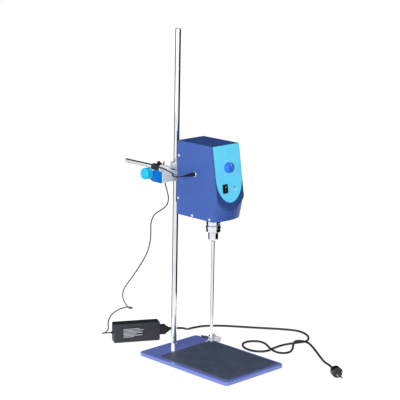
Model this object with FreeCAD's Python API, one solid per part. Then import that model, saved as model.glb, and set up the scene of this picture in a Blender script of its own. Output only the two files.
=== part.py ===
import FreeCAD, Part
import math
import os

# Overhead laboratory stirrer: a motor head on a horizontal arm, clamped to the rod of a plate stand.
# Millimetres. +Z is up, the head faces -Y, and the origin is the centre of the stand's underside.

V = FreeCAD.Vector

# Fits
running_gap = 0.05        # radial play of a shaft that turns or slides in its bore
seat_gap = 0.1            # play between faces that slide past each other
piece_gap = 0.3           # air between pieces that never touch
screw_gap = 0.1           # radial play round a screw's shank

# Stand
plate_width = 200.0
plate_depth = 300.0
plate_top = 10.0
plate_corner = 11.0
plate_edge = 2.0
pad_thickness = 1.5
pad_margin = 4.0
mat_thickness = 3.0
mat_side_margin = 11.5
mat_front_margin = 10.0
mat_back_y = 86.5
mat_corner = 7.0
rod_x = -9.0
rod_y = 120.4
rod_radius = 7.0
rod_top = 800.0
rod_chamfer = 1.2
spigot_radius = 5.0
spigot_length = 4.1
rod_screw_radius = 3.0
rod_screw_length = 13.0
rod_screw_head_radius = 5.2
rod_screw_head_height = 2.8
rod_screw_socket = 4.0
rod_flange_radius = 8.0
rod_flange_thickness = 1.4
collar_across_flats = 14.0
collar_height = 10.0

# Cross clamp
clamp_bottom = 436.4
clamp_web_top = 463.5
clamp_depth = 29.0
clamp_edge = 2.5
rod_barrel_radius = 14.5
rod_barrel_top = 477.0
arm_offset = 35.0
arm_z = 465.0
arm_radius = 5.0
arm_barrel_radius = 9.5
clamp_left_reach = 26.0
clamp_right_reach = 23.0
screw_tunnel_wall = 1.4
boss_length = 22.8
boss_neck_half = 12.0
boss_rim = 4.0
clamp_screw_radius = 3.0
arm_screw_z = 462.8
rod_screw_z = 448.0
thumb_radius = 13.5
thumb_length = 22.0
thumb_groove_radius = 1.1
thumb_grooves = 20
thumb_gap = 1.2
thumb_collar_radius = 7.5
thumb_collar_length = 3.0

# Arm and its flange on the head
arm_back_y = 262.0
arm_front_y = 50.0
arm_chamfer = 0.8
flange_radius = 13.4
flange_thickness = 5.0
flange_boss_radius = 7.4
flange_boss_length = 12.0
flange_screw_circle = 10.3
flange_screws = 3
circlip_radius = 7.5
circlip_thickness = 1.2

# Head
head_x = -15.0
head_width = 88.8
head_back_y = 66.0
head_top_z = 545.4
head_ridge_z = 422.0
head_bottom_z = 367.5
head_top_depth = 114.5
head_ridge_depth = 135.3
head_bottom_depth = 123.0
front_bulge = 9.7
shell_wall = 1.5
shell_edge = 2.0
fascia_thickness = 2.0
fascia_lip = 1.8
label_thickness = 0.5
label_side_margin = 1.6
label_straight = 75.0
label_drop = 134.4
back_panel_thickness = 1.5
back_panel_recess = 1.0
panel_flange = 12.0
bottom_plate_thickness = 3.0
case_screw_radius = 1.5
case_screw_length = 5.0
case_screw_head_radius = 2.9
case_screw_head_height = 1.7
back_screw_inset = 5.5
back_screw_heights = (407.0, 510.0)
bottom_screw_rise = 5.0
bottom_screw_places = (-44.0, 13.0)

# Controls on the fascia: across from the head's centre, and down the slope from its top edge
knob_across = 0.5
knob_down = 53.4
knob_radius = 12.2
knob_height = 10.8
knob_skirt_radius = 12.9
knob_skirt_height = 1.6
knob_flutes = 24
knob_flute_radius = 0.7
pot_bush_radius = 3.5
pot_shaft_radius = 3.0
pot_body_radius = 12.0
pot_body_depth = 9.0
switch_across = -16.5
switch_down = 101.1
switch_width = 16.0
switch_height = 21.0
switch_bezel = 1.6
switch_body_width = 13.0
switch_body_height = 19.0
switch_body_depth = 16.0
rocker_width = 9.6
rocker_height = 14.2
rocker_angle = 9.0
rocker_pivot_depth = 1.6
rocker_pin_radius = 0.8
rocker_pin_reach = 0.9
led_across = 15.0
led_down = 100.4
led_radius = 1.5
led_flange_radius = 1.9

# Drive train: a pinion on the motor turns the spindle's gear
spindle_y = -15.0
spindle_radius = 6.0
gear_module = 1.25
pinion_teeth = 14
spindle_teeth = 42
gear_backlash = 0.16
gear_width = 8.0
gear_bottom_z = 404.0
bearing_outer_radius = 14.0
bearing_width = 8.0
bearing_housing_radius = 19.0
bearing_housing_height = 28.0
housing_flange_radius = 25.0
housing_flange_height = 4.0
housing_bolt_circle = 22.0
motor_plate_z = 418.0
motor_plate_thickness = 3.0
motor_radius = 21.0
motor_height = 62.0
motor_cap_height = 8.0
motor_boss_radius = 6.5
motor_boss_height = 2.5
motor_shaft_radius = 2.5
motor_shaft_length = 26.0
post_radius = 3.5
drive_screw_head_radius = 2.7
drive_screw_head_height = 1.8
board_width = 46.0
board_height = 58.0
board_thickness = 1.6
board_standoff = 5.0
board_bottom_z = 474.0

# Chuck and stirring tool
chuck_top_z = 365.5
chuck_barrel_radius = 17.4
chuck_core_radius = 14.2
sleeve_top_z = 349.3
sleeve_bottom_z = 331.0
sleeve_ring_height = 7.6
sleeve_ring_radius = 18.6
sleeve_radius = 17.9
sleeve_teeth = 30
nose_radius = 12.5
nose_round_z = 315.5
nose_tip_z = 310.5
nose_tip_radius = 9.0
key_hole_radius = 3.0
key_hole_depth = 7.0
jaw_radius = 2.2
jaw_tilt = 10.0
jaw_length = 19.0
jaw_gap = 0.12
jaw_count = 3
tool_radius = 4.0
tool_bottom_z = 59.0
tool_top_z = 346.0
impeller_radius = 26.0
impeller_hub_radius = 7.0
impeller_hub_height = 13.0
impeller_z = 61.0
blade_width = 14.0
blade_thickness = 1.2
blade_pitch = 45.0
blade_count = 4

# Power
jack_y = 7.0
jack_z = 472.8
jack_radius = 5.6
jack_ring_radius = 6.5
jack_ring_height = 2.2
plug_radius = 4.8
plug_grip_length = 9.0
plug_length = 36.0
lead_radius = 1.5
adaptor_length = 119.0
adaptor_height = 49.0
adaptor_thickness = 30.0
adaptor_left = (-84.0, 258.0)
adaptor_angle = -29.4
adaptor_edge = 3.0
adaptor_seam = 0.6
inlet_width = 24.0
inlet_height = 17.0
inlet_depth = 9.0
connector_width = 21.0
connector_height = 14.0
connector_body_length = 17.0
connector_taper_length = 9.0
connector_relief_length = 11.0
mains_radius = 2.8
adaptor_relief_length = 5.5
plug_body_radius = 13.0
plug_relief_reach = 12.0
plug_body_end = 40.0
blade_spacing = 12.7
blade_reach = 17.5
earth_reach = 20.5

# Lead turns tied round the arm: one layer, and two layers at the front
coil_length = 27.0
coil_start_y = 136.0
coil_gap = 0.3
coil_thick_length = 13.0
coil_thick_radius = 11.0
coil_step = 3.0
tie_width = 3.6
tie_thickness = 1.1
tie_clearance = 0.15
tie_place = 0.27
tie_head = 5.5
tie_tail_rise = 1.5
tie_tail_drop = 5.6

far = 900.0               # past the object's end, for cuts that go right through
pieces = {}


def keep(name, *solids):
    """Hold a node's solids under its name until all of them are written."""
    pieces[name] = solids[0] if len(solids) == 1 else Part.makeCompound(list(solids))
    return pieces[name]


def box(low, high):
    """A box between two opposite corners."""
    return Part.makeBox(high[0] - low[0], high[1] - low[1], high[2] - low[2], V(*low))


def rod_between(start, end, radius):
    """A cylinder from one point to another."""
    axis = V(*end) - V(*start)
    return Part.makeCylinder(radius, axis.Length, V(*start), axis)


def cone_between(start, end, radius_start, radius_end):
    """A cone frustum from one point to another."""
    axis = V(*end) - V(*start)
    return Part.makeCone(radius_start, radius_end, axis.Length, V(*start), axis)


def polygon(points):
    """A flat face through the points."""
    return Part.Face(Part.makePolygon([V(*p) for p in list(points) + [points[0]]]))


def turned(profile, base, axis):
    """A solid of revolution; the profile lists radius and height along the axis from the base."""
    face = polygon([(r, 0, h) for r, h in profile])
    solid = face.revolve(V(0, 0, 0), V(0, 0, 1), 360)
    solid.Placement = FreeCAD.Placement(V(*base), FreeCAD.Rotation(V(0, 0, 1), V(*axis)))
    return solid


def fillet_edges(solid, radius, wanted):
    """Round the edges that the test picks."""
    return solid.makeFillet(radius, [e for e in solid.Edges if wanted(e)])


def is_upright(edge):
    return edge.Curve.TypeId == "Part::GeomLine" and abs(edge.tangentAt(edge.FirstParameter).z) > 0.99


def rounded_plate(low, high, corner):
    """A box with its four upright edges rounded."""
    return fillet_edges(box(low, high), corner, is_upright)


def spun(shape, centre, axis, angle):
    copy = shape.copy()
    copy.rotate(V(*centre), V(*axis), angle)
    return copy


def hexagon(across_flats, height, base, axis=(0, 0, 1)):
    """A hexagonal prism on its axis."""
    reach = across_flats / math.sqrt(3)
    corners = [(reach * math.cos(math.radians(60 * k)), reach * math.sin(math.radians(60 * k)), 0)
               for k in range(6)]
    prism = polygon(corners).extrude(V(0, 0, height))
    prism.Placement = FreeCAD.Placement(V(*base), FreeCAD.Rotation(V(0, 0, 1), V(*axis)))
    return prism


def pan_screw(seat, out, shank_length, shank_radius, head_radius, head_height):
    """A round-headed screw: its seat, the way its head points, and a cross slot."""
    head = turned([(0, 0), (head_radius, 0), (head_radius, head_height * 0.45),
                   (head_radius * 0.62, head_height), (0, head_height)], seat, out)
    away = V(*out)
    shank = rod_between(tuple(V(*seat) - away * shank_length), tuple(V(*seat) + away * 0.2), shank_radius)
    slot = Part.makeBox(head_radius * 1.3, 0.7, head_height * 0.5,
                        V(-head_radius * 0.65, -0.35, head_height * 0.6))
    crossed = slot.fuse(spun(slot, (0, 0, 0), (0, 0, 1), 90))
    crossed.Placement = FreeCAD.Placement(V(*seat), FreeCAD.Rotation(V(0, 0, 1), away))
    return head.fuse(shank).cut(crossed)


# Cords: straight runs joined by tangent arcs

def cord_paths(points, cuts):
    """Wires along the points, each corner an arc as large as its runs allow, parted in the middle of runs."""
    spots = [V(*p) for p in points]
    wires = []
    edges = []
    radii = []
    here = spots[0]
    for number in range(1, len(spots)):
        corner = spots[number]
        last = number == len(spots) - 1
        way_in = corner - spots[number - 1]
        if not last:
            way_out = spots[number + 1] - corner
            run = 0.45 * min(way_in.Length, way_out.Length)
            turn = way_in.getAngle(way_out)
        middle = spots[number - 1] + way_in * 0.5
        way_in.normalize()
        arc_start = corner if last else corner - way_in * run
        if number - 1 in cuts:
            edges.append(Part.LineSegment(here, middle).toShape())
            wires.append(Part.Wire(edges))
            edges = []
            here = middle
        edges.append(Part.LineSegment(here, arc_start).toShape())
        if last:
            wires.append(Part.Wire(edges))
            return wires, radii
        way_out.normalize()
        radius = run / math.tan(turn / 2)
        inward = way_out - way_in
        inward.normalize()
        arc_middle = corner + inward * (radius / math.cos(turn / 2) - radius)
        arc_end = corner + way_out * run
        edges.append(Part.Arc(arc_start, arc_middle, arc_end).toShape())
        radii.append(radius)
        here = arc_end


def cord(names, points, radius, cuts):
    """A cord's plain tubes along its route, with the length and bends printed."""
    wires, radii = cord_paths(points, cuts)
    for name, path in zip(names, wires):
        start = path.Edges[0].valueAt(path.Edges[0].FirstParameter)
        heading = path.Edges[0].tangentAt(path.Edges[0].FirstParameter)
        ring = Part.Wire([Part.makeCircle(radius, start, heading)])
        tube = path.makePipeShell([ring], True, False)
        share = tube.Volume / (math.pi * radius ** 2 * path.Length)
        print(f"{name}: {path.Length:.1f} mm long, volume share {share:.4f}")
        keep(name, tube)
    tight = sorted(round(r, 1) for r in radii)[:5]
    print(f"{names[0]} route: {sum(w.Length for w in wires):.1f} mm long, smallest bends {tight}")


# Stand

def stand():
    """Painted steel plate with a rubber sheet under it, a rubber mat on it, and the rod's fixing."""
    half_w = plate_width / 2
    half_d = plate_depth / 2
    plate = rounded_plate((-half_w, -half_d, pad_thickness), (half_w, half_d, plate_top), plate_corner)
    plate = fillet_edges(plate, plate_edge, lambda e: e.BoundBox.ZMin > plate_top - 0.01)
    well_roof = plate_top - spigot_length
    plate = plate.cut(rod_between((rod_x, rod_y, 0), (rod_x, rod_y, plate_top + 1),
                                  spigot_radius + running_gap))
    well_radius = rod_flange_radius + piece_gap * 2
    well = rod_between((rod_x, rod_y, 0), (rod_x, rod_y, well_roof), well_radius)
    keep("base_plate", plate.cut(well))

    pad = rounded_plate((-half_w + pad_margin, -half_d + pad_margin, 0),
                        (half_w - pad_margin, half_d - pad_margin, pad_thickness),
                        plate_corner - pad_margin)
    keep("base_pad", pad.cut(well))

    mat = rounded_plate((-half_w + mat_side_margin, -half_d + mat_front_margin, plate_top),
                        (half_w - mat_side_margin, mat_back_y, plate_top + mat_thickness), mat_corner)
    keep("plate_mat", fillet_edges(mat, 0.8, lambda e: e.BoundBox.ZMin > plate_top + mat_thickness - 0.01))

    collar = hexagon(collar_across_flats, collar_height, (rod_x, rod_y, plate_top))
    chamfer = turned([(0, 0), (collar_across_flats * 0.62, 0),
                      (collar_across_flats * 0.62, collar_height - 2.2),
                      (collar_across_flats * 0.47, collar_height), (0, collar_height)],
                     (rod_x, rod_y, plate_top), (0, 0, 1))
    bore = rod_between((rod_x, rod_y, 0), (rod_x, rod_y, rod_top), spigot_radius + running_gap)
    keep("rod_collar", collar.common(chamfer).cut(bore))

    foot = plate_top + collar_height + seat_gap
    spigot_foot = well_roof - seat_gap
    shaft = turned([(0, spigot_foot), (spigot_radius, spigot_foot), (spigot_radius, foot),
                    (rod_radius, foot), (rod_radius, rod_top - rod_chamfer),
                    (rod_radius - rod_chamfer, rod_top), (0, rod_top)], (rod_x, rod_y, 0), (0, 0, 1))
    tapped = rod_between((rod_x, rod_y, spigot_foot), (rod_x, rod_y, spigot_foot + rod_screw_length + 1),
                         rod_screw_radius + screw_gap)
    keep("stand_rod", shaft.cut(tapped))

    flange_foot = spigot_foot - rod_flange_thickness
    head_foot = flange_foot - rod_screw_head_height
    screw = turned([(0, head_foot), (rod_screw_head_radius, head_foot), (rod_screw_head_radius, flange_foot),
                    (rod_flange_radius, flange_foot), (rod_flange_radius, spigot_foot),
                    (rod_screw_radius, spigot_foot), (rod_screw_radius, spigot_foot + rod_screw_length),
                    (0, spigot_foot + rod_screw_length)], (rod_x, rod_y, 0), (0, 0, 1))
    socket = hexagon(rod_screw_socket, rod_screw_head_height * 0.6, (rod_x, rod_y, head_foot))
    keep("rod_screw", screw.cut(socket))


# Cross clamp

arm_x = rod_x - arm_offset
clamp_front_y = rod_y - clamp_depth / 2
clamp_back_y = rod_y + clamp_depth / 2
clamp_left_x = arm_x - clamp_left_reach
clamp_right_x = rod_x + clamp_right_reach


def thumb_knob(base, out):
    """A round plastic thumb knob with grip grooves and a dished end."""
    body = turned([(0, 0), (thumb_collar_radius, 0), (thumb_collar_radius, thumb_collar_length),
                   (thumb_radius - 1.5, thumb_collar_length), (thumb_radius, thumb_collar_length + 1.5),
                   (thumb_radius, thumb_length - 2.2), (thumb_radius - 0.7, thumb_length - 0.8),
                   (thumb_radius - 2.2, thumb_length), (thumb_radius - 4.5, thumb_length),
                   (thumb_radius - 5.3, thumb_length - 0.9), (0, thumb_length - 0.9)],
                  (0, 0, 0), (0, 0, 1))
    groove = rod_between((thumb_radius + thumb_groove_radius * 0.45, 0, thumb_collar_length),
                         (thumb_radius + thumb_groove_radius * 0.45, 0, thumb_length - 2.6),
                         thumb_groove_radius)
    for step in range(thumb_grooves):
        body = body.cut(spun(groove, (0, 0, 0), (0, 0, 1), 360 * step / thumb_grooves))
    socket = rod_between((0, 0, -1), (0, 0, thumb_length * 0.55), clamp_screw_radius)
    body = body.cut(socket)
    body.Placement = FreeCAD.Placement(V(*base), FreeCAD.Rotation(V(0, 0, 1), V(*out)))
    return body


def clamp_screw(tip_x, knob_x, direction, z):
    """A threaded rod from its flat tip to its seat in the knob."""
    end_x = knob_x + direction * thumb_length * 0.55
    shank = rod_between((tip_x, rod_y, z), (end_x, rod_y, z), clamp_screw_radius)
    groove_count = 5
    for step in range(groove_count):
        place = knob_x - direction * (2.0 + 2.0 * step)
        ring = turned([(clamp_screw_radius - 0.35, 0), (clamp_screw_radius + 1, -0.6),
                       (clamp_screw_radius + 1, 0.6)], (place, rod_y, z), (1, 0, 0))
        shank = shank.cut(ring)
    return shank


def cross_clamp():
    """A cast block that holds the upright rod and the level arm, each pressed by a thumb screw."""
    web = box((clamp_left_x, clamp_front_y, clamp_bottom), (clamp_right_x, clamp_back_y, clamp_web_top))
    web = fillet_edges(web, clamp_edge, is_upright)
    rod_barrel = rod_between((rod_x, rod_y, clamp_bottom), (rod_x, rod_y, rod_barrel_top), rod_barrel_radius)
    arm_barrel = rod_between((arm_x, clamp_front_y, arm_z), (arm_x, clamp_back_y, arm_z), arm_barrel_radius)
    tunnel = rod_between((clamp_left_x, rod_y, arm_screw_z), (arm_x, rod_y, arm_screw_z),
                         clamp_screw_radius + screw_tunnel_wall)
    block = web.multiFuse([rod_barrel, arm_barrel, tunnel]).removeSplitter()
    rod_bore = rod_between((rod_x, rod_y, clamp_bottom - 1), (rod_x, rod_y, rod_barrel_top + 1),
                           rod_radius + running_gap)
    arm_bore = rod_between((arm_x, clamp_front_y - 1, arm_z), (arm_x, clamp_back_y + 1, arm_z),
                           arm_radius + running_gap)
    hole = clamp_screw_radius + screw_gap
    arm_hole = rod_between((clamp_left_x - 1, rod_y, arm_screw_z), (arm_x, rod_y, arm_screw_z), hole)
    rod_hole = rod_between((clamp_right_x + 1, rod_y, rod_screw_z), (rod_x, rod_y, rod_screw_z), hole)
    keep("clamp_block", block.cut(rod_bore).cut(arm_bore).cut(arm_hole).cut(rod_hole))

    # painted boss: four tapering sides from the block's end down to the knob's neck
    rim = box((clamp_left_x - boss_rim, clamp_front_y, clamp_bottom),
              (clamp_left_x, clamp_back_y, clamp_web_top))
    neck_x = clamp_left_x - boss_length
    low = clamp_web_top - clamp_bottom

    def section(x, half_y, bottom, top):
        corners = [(x, rod_y - half_y, bottom), (x, rod_y + half_y, bottom),
                   (x, rod_y + half_y, top), (x, rod_y - half_y, top)]
        return Part.makePolygon([V(*p) for p in corners + corners[:1]])

    wide = section(clamp_left_x - boss_rim, clamp_depth / 2, clamp_bottom, clamp_bottom + low)
    narrow = section(neck_x, boss_neck_half, arm_screw_z - boss_neck_half, arm_screw_z + boss_neck_half * 0.55)
    taper = Part.makeLoft([wide, narrow], True, True)
    ridge = rod_between((neck_x, rod_y, arm_screw_z), (clamp_left_x, rod_y, arm_screw_z),
                        clamp_screw_radius + screw_tunnel_wall)
    boss = rim.multiFuse([taper, ridge])
    keep("clamp_boss", boss.cut(rod_between((neck_x - 1, rod_y, arm_screw_z),
                                            (clamp_left_x + 1, rod_y, arm_screw_z), hole)))

    arm_knob_x = neck_x - thumb_gap
    keep("arm_knob", thumb_knob((arm_knob_x, rod_y, arm_screw_z), (-1, 0, 0)))
    keep("arm_screw", clamp_screw(arm_x - arm_radius - piece_gap, arm_knob_x, -1, arm_screw_z))
    rod_knob_x = clamp_right_x + thumb_gap
    keep("rod_knob", thumb_knob((rod_knob_x, rod_y, rod_screw_z), (1, 0, 0)))
    keep("rod_clamp_screw", clamp_screw(rod_x + rod_radius + piece_gap, rod_knob_x, 1, rod_screw_z))


# Arm

flange_back_y = head_back_y - back_panel_recess


def arm_and_flange():
    """A plated bar that turns in the head's flange, held inside by a ring in its groove."""
    bar = turned([(0, 0), (arm_radius - arm_chamfer, 0), (arm_radius, arm_chamfer),
                  (arm_radius, arm_back_y - arm_front_y - arm_chamfer),
                  (arm_radius - arm_chamfer, arm_back_y - arm_front_y), (0, arm_back_y - arm_front_y)],
                 (arm_x, arm_front_y, arm_z), (0, 1, 0))
    panel_front = flange_back_y - back_panel_thickness
    ring_y = panel_front - circlip_thickness - seat_gap * 2
    groove = turned([(arm_radius - 0.8, 0), (circlip_radius, 0), (circlip_radius, circlip_thickness),
                     (arm_radius - 0.8, circlip_thickness)], (arm_x, ring_y, arm_z), (0, 1, 0))
    keep("arm_bar", bar.cut(groove))
    ring = turned([(arm_radius - 0.7, 0.1), (circlip_radius, 0.1), (circlip_radius, circlip_thickness - 0.1),
                   (arm_radius - 0.7, circlip_thickness - 0.1)], (arm_x, ring_y, arm_z), (0, 1, 0))
    mouth = box((arm_x - 2, ring_y - 1, arm_z - circlip_radius - 1), (arm_x + 2, ring_y + 3, arm_z))
    keep("arm_circlip", ring.cut(mouth))

    flange = turned([(arm_radius + running_gap, 0), (flange_radius - 0.8, 0), (flange_radius, 0.8),
                     (flange_radius, flange_thickness - 1), (flange_radius - 1, flange_thickness),
                     (flange_boss_radius + 0.3, flange_thickness), (flange_boss_radius, flange_thickness + 0.3),
                     (flange_boss_radius, flange_boss_length - 0.8),
                     (flange_boss_radius - 0.8, flange_boss_length),
                     (arm_radius + running_gap, flange_boss_length)],
                    (arm_x, flange_back_y, arm_z), (0, 1, 0))
    screws = []
    for step in range(flange_screws):
        angle = math.radians(90 + 360 * step / flange_screws)
        x = arm_x + flange_screw_circle * math.cos(angle)
        z = arm_z + flange_screw_circle * math.sin(angle)
        flange = flange.cut(rod_between((x, panel_front, z), (x, head_back_y + 20, z), 1.5 + screw_gap))
        screws.append(pan_screw((x, flange_back_y + flange_thickness, z), (0, 1, 0),
                                flange_thickness + back_panel_thickness + 2, 1.5, 2.5, 1.6))
    keep("arm_flange", flange)
    keep("flange_screws", *screws)


def flange_holes():
    """Clearance in the back panel for the arm and the flange's screws."""
    holes = [rod_between((arm_x, 0, arm_z), (arm_x, head_back_y + 1, arm_z), arm_radius + piece_gap)]
    for step in range(flange_screws):
        angle = math.radians(90 + 360 * step / flange_screws)
        x = arm_x + flange_screw_circle * math.cos(angle)
        z = arm_z + flange_screw_circle * math.sin(angle)
        holes.append(rod_between((x, 0, z), (x, head_back_y + 1, z), 1.5 + screw_gap))
    return holes


# Head

front_top_y = head_back_y - head_top_depth
ridge_y = head_back_y - head_ridge_depth
bottom_y = head_back_y - head_bottom_depth
slope_run = math.hypot(ridge_y - front_top_y, head_top_z - head_ridge_z)
slope_out = V(0, -(head_top_z - head_ridge_z) / slope_run, (front_top_y - ridge_y) / slope_run)
slope_down = V(0, -(front_top_y - ridge_y) / slope_run, -(head_top_z - head_ridge_z) / slope_run)
half_width = head_width / 2


def on_fascia(across, down, out=0.0):
    """A point on the fascia's outer plane, or off it by the last value."""
    return V(head_x + across, front_top_y, head_top_z) + slope_down * down + slope_out * out


def fascia_placement(across, down, out=0.0):
    """Puts a shape made flat on XY, with Y up the slope and Z outwards, onto the fascia."""
    turn = FreeCAD.Rotation(V(1, 0, 0), V(0, 0, 0) - slope_down, slope_out, "ZXY")
    return FreeCAD.Placement(on_fascia(across, down, out), turn)


def head_form(side, top, back, bottom, slope, front):
    """The head's outer form with each face moved inwards by the given distance."""
    lean = (bottom_y - ridge_y) / (head_ridge_z - head_bottom_z)
    fall = (front_top_y - ridge_y) / (head_top_z - head_ridge_z)
    slope_shift = slope * math.hypot(1, fall)
    front_shift = front * math.hypot(1, lean)
    low = head_bottom_z + bottom
    high = head_top_z - top
    rear = head_back_y - back

    def fascia_y(z):
        return front_top_y - fall * (head_top_z - z) + slope_shift

    left = head_x - half_width + side
    wide = head_width - 2 * side
    profile = polygon([(left, rear, low), (left, rear, high), (left, fascia_y(high), high),
                       (left, fascia_y(low), low)])
    wedge = profile.extrude(V(wide, 0, 0))

    reach = 60.0
    corner_y = ridge_y - lean * reach + front_shift
    start_z = head_ridge_z + reach
    a = V(head_x - half_width, corner_y, start_z)
    b = V(head_x, corner_y - front_bulge, start_z)
    c = V(head_x + half_width, corner_y, start_z)
    d = V(head_x + half_width, far, start_z)
    e = V(head_x - half_width, far, start_z)
    outline = Part.Wire([Part.Arc(a, b, c).toShape(), Part.makeLine(c, d), Part.makeLine(d, e),
                         Part.makeLine(e, a)])
    drop = start_z - head_bottom_z + 10
    bulged = Part.Face(outline).extrude(V(0, lean * drop, -drop))
    cap = box((head_x - half_width - 1, -far, start_z), (head_x + half_width + 1, far, head_top_z + 10))
    return wedge.common(bulged.fuse(cap)).removeSplitter()


def case_screw_places():
    """Seats of the screws in the left and right sides, with the way each head points."""
    places = []
    for side in (-1, 1):
        x = head_x + side * half_width
        for z in back_screw_heights:
            places.append(((x, head_back_y - back_screw_inset, z), (side, 0, 0)))
        for y in bottom_screw_places:
            places.append(((x, y, head_bottom_z + bottom_screw_rise), (side, 0, 0)))
    return places


def case_screw_cut(radius):
    """Rods through every case screw's place, as deep as the screws go."""
    cuts = []
    for seat, out in case_screw_places():
        inner = (seat[0] - out[0] * 14, seat[1], seat[2])
        outer = (seat[0] + out[0], seat[1], seat[2])
        cuts.append(rod_between(inner, outer, radius))
    return cuts


def fascia_cuts(depth):
    """Openings in the fascia for the speed control, the switch and the lamp."""
    window = Part.makeBox(switch_body_width + 2 * screw_gap, switch_body_height + 2 * screw_gap, depth,
                          V(-switch_body_width / 2 - screw_gap, -switch_body_height / 2 - screw_gap, 0))
    window.Placement = fascia_placement(switch_across, switch_down, -depth / 2)
    lamp = Part.makeCylinder(led_radius + screw_gap, depth, V(0, 0, 0))
    lamp.Placement = fascia_placement(led_across, led_down, -depth / 2)
    spindle = Part.makeCylinder(pot_bush_radius + screw_gap, depth, V(0, 0, 0))
    spindle.Placement = fascia_placement(knob_across, knob_down, -depth / 2)
    return [window, lamp, spindle]


def head_case():
    """A sheet cover of top, sides and front, closed by a back panel and a bottom plate."""
    outer = head_form(0, 0, 0, 0, fascia_thickness, fascia_lip)

    def top_side(e):
        high = e.BoundBox.ZMin > head_top_z - 0.01
        return high and e.Curve.TypeId == "Part::GeomLine" and e.BoundBox.XLength < 0.01

    outer = fillet_edges(outer, shell_edge, top_side)
    inner = head_form(shell_wall, shell_wall, -20, -20, fascia_thickness + shell_wall,
                      fascia_lip + shell_wall)
    cover = outer.cut(inner).cut(inner_extension())
    jack_hole = rod_between((head_x - half_width - 1, jack_y, jack_z),
                            (head_x - half_width + 5, jack_y, jack_z), jack_radius + screw_gap)
    for cut in case_screw_cut(case_screw_radius + screw_gap) + fascia_cuts(40) + [jack_hole]:
        cover = cover.cut(cut)
    keep("housing_cover", cover)

    fit = shell_wall + seat_gap
    panel_back = flange_back_y
    panel_front = panel_back - back_panel_thickness
    left = head_x - half_width + fit
    right = head_x + half_width - fit
    bottom = head_bottom_z + bottom_plate_thickness + seat_gap
    top = head_top_z - fit
    sheet = box((left, panel_front, bottom), (right, panel_back, top))
    for x in (left, right - back_panel_thickness):
        tab = box((x, panel_front - panel_flange, bottom + 10), (x + back_panel_thickness, panel_front, top - 2))
        sheet = sheet.fuse(tab)
    sheet = sheet.removeSplitter()
    for step in range(5):
        z = 500 + 6.0 * step
        vent = box((head_x - 22, panel_front - 1, z), (head_x + 22, panel_back + 1, z + 2.4))
        sheet = sheet.cut(vent)
    for x, z in board_corners():
        sheet = sheet.fuse(rod_between((x, panel_front - board_standoff, z), (x, panel_front, z), 2.6))
    for cut in flange_holes() + case_screw_cut(case_screw_radius + screw_gap) + board_holes():
        sheet = sheet.cut(cut)
    keep("back_panel", sheet)

    floor = head_form(fit, 0, back_panel_recess, 0, fascia_thickness + fit, fascia_lip + fit)
    floor_top = head_bottom_z + bottom_plate_thickness
    floor = floor.common(box((-far, -far, head_bottom_z), (far, far, floor_top)))
    for x in (left, right - back_panel_thickness):
        tab = box((x, bottom_screw_places[0] - 8, floor_top),
                  (x + back_panel_thickness, bottom_screw_places[1] + 8, floor_top + 7))
        floor = floor.fuse(tab)
    floor = floor.cut(rod_between((head_x, spindle_y, 0), (head_x, spindle_y, far), spindle_radius + 3))
    for cut in case_screw_cut(case_screw_radius + screw_gap) + floor_screw_holes():
        floor = floor.cut(cut)
    keep("bottom_plate", floor)

    screws = [pan_screw(seat, out, case_screw_length, case_screw_radius, case_screw_head_radius,
                        case_screw_head_height) for seat, out in case_screw_places()]
    keep("case_screws", *screws)


def inner_extension():
    """Opens the cover's back and bottom fully."""
    rear = box((head_x - half_width + shell_wall, head_back_y - 1, head_bottom_z - 5),
               (head_x + half_width - shell_wall, head_back_y + 5, head_top_z - shell_wall))
    return rear


def label_outline():
    """The label's outline, flat: straight sides, then half an ellipse, with its origin at the top middle."""
    reach = half_width - label_side_margin
    drop = label_drop - label_straight
    side_left = Part.makeLine(V(-reach, 0, 0), V(-reach, -label_straight, 0))
    round_end = Part.Ellipse(V(0, -label_straight - drop, 0), V(reach, -label_straight, 0),
                             V(0, -label_straight, 0))
    arc = Part.ArcOfEllipse(round_end, -math.pi / 2, math.pi / 2).toShape()
    side_right = Part.makeLine(V(reach, -label_straight, 0), V(reach, 0, 0))
    top = Part.makeLine(V(reach, 0, 0), V(-reach, 0, 0))
    return Part.Wire(Part.sortEdges([side_left, arc, side_right, top])[0])


def fascia():
    """A moulded fascia that overhangs the lower front, with a printed label sheet on it."""
    whole = head_form(0, 0, -5, -5, 0, 0)
    behind = head_form(-5, -5, -10, -10, fascia_thickness, -5)
    panel = whole.cut(behind)
    for cut in fascia_cuts(40):
        panel = panel.cut(cut)
    keep("fascia_panel", panel)

    sheet = Part.Face(label_outline()).extrude(V(0, 0, label_thickness))
    sheet.Placement = fascia_placement(0, label_thickness)
    for cut in fascia_cuts(40):
        sheet = sheet.cut(cut)
    keep("label_sheet", sheet)


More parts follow.
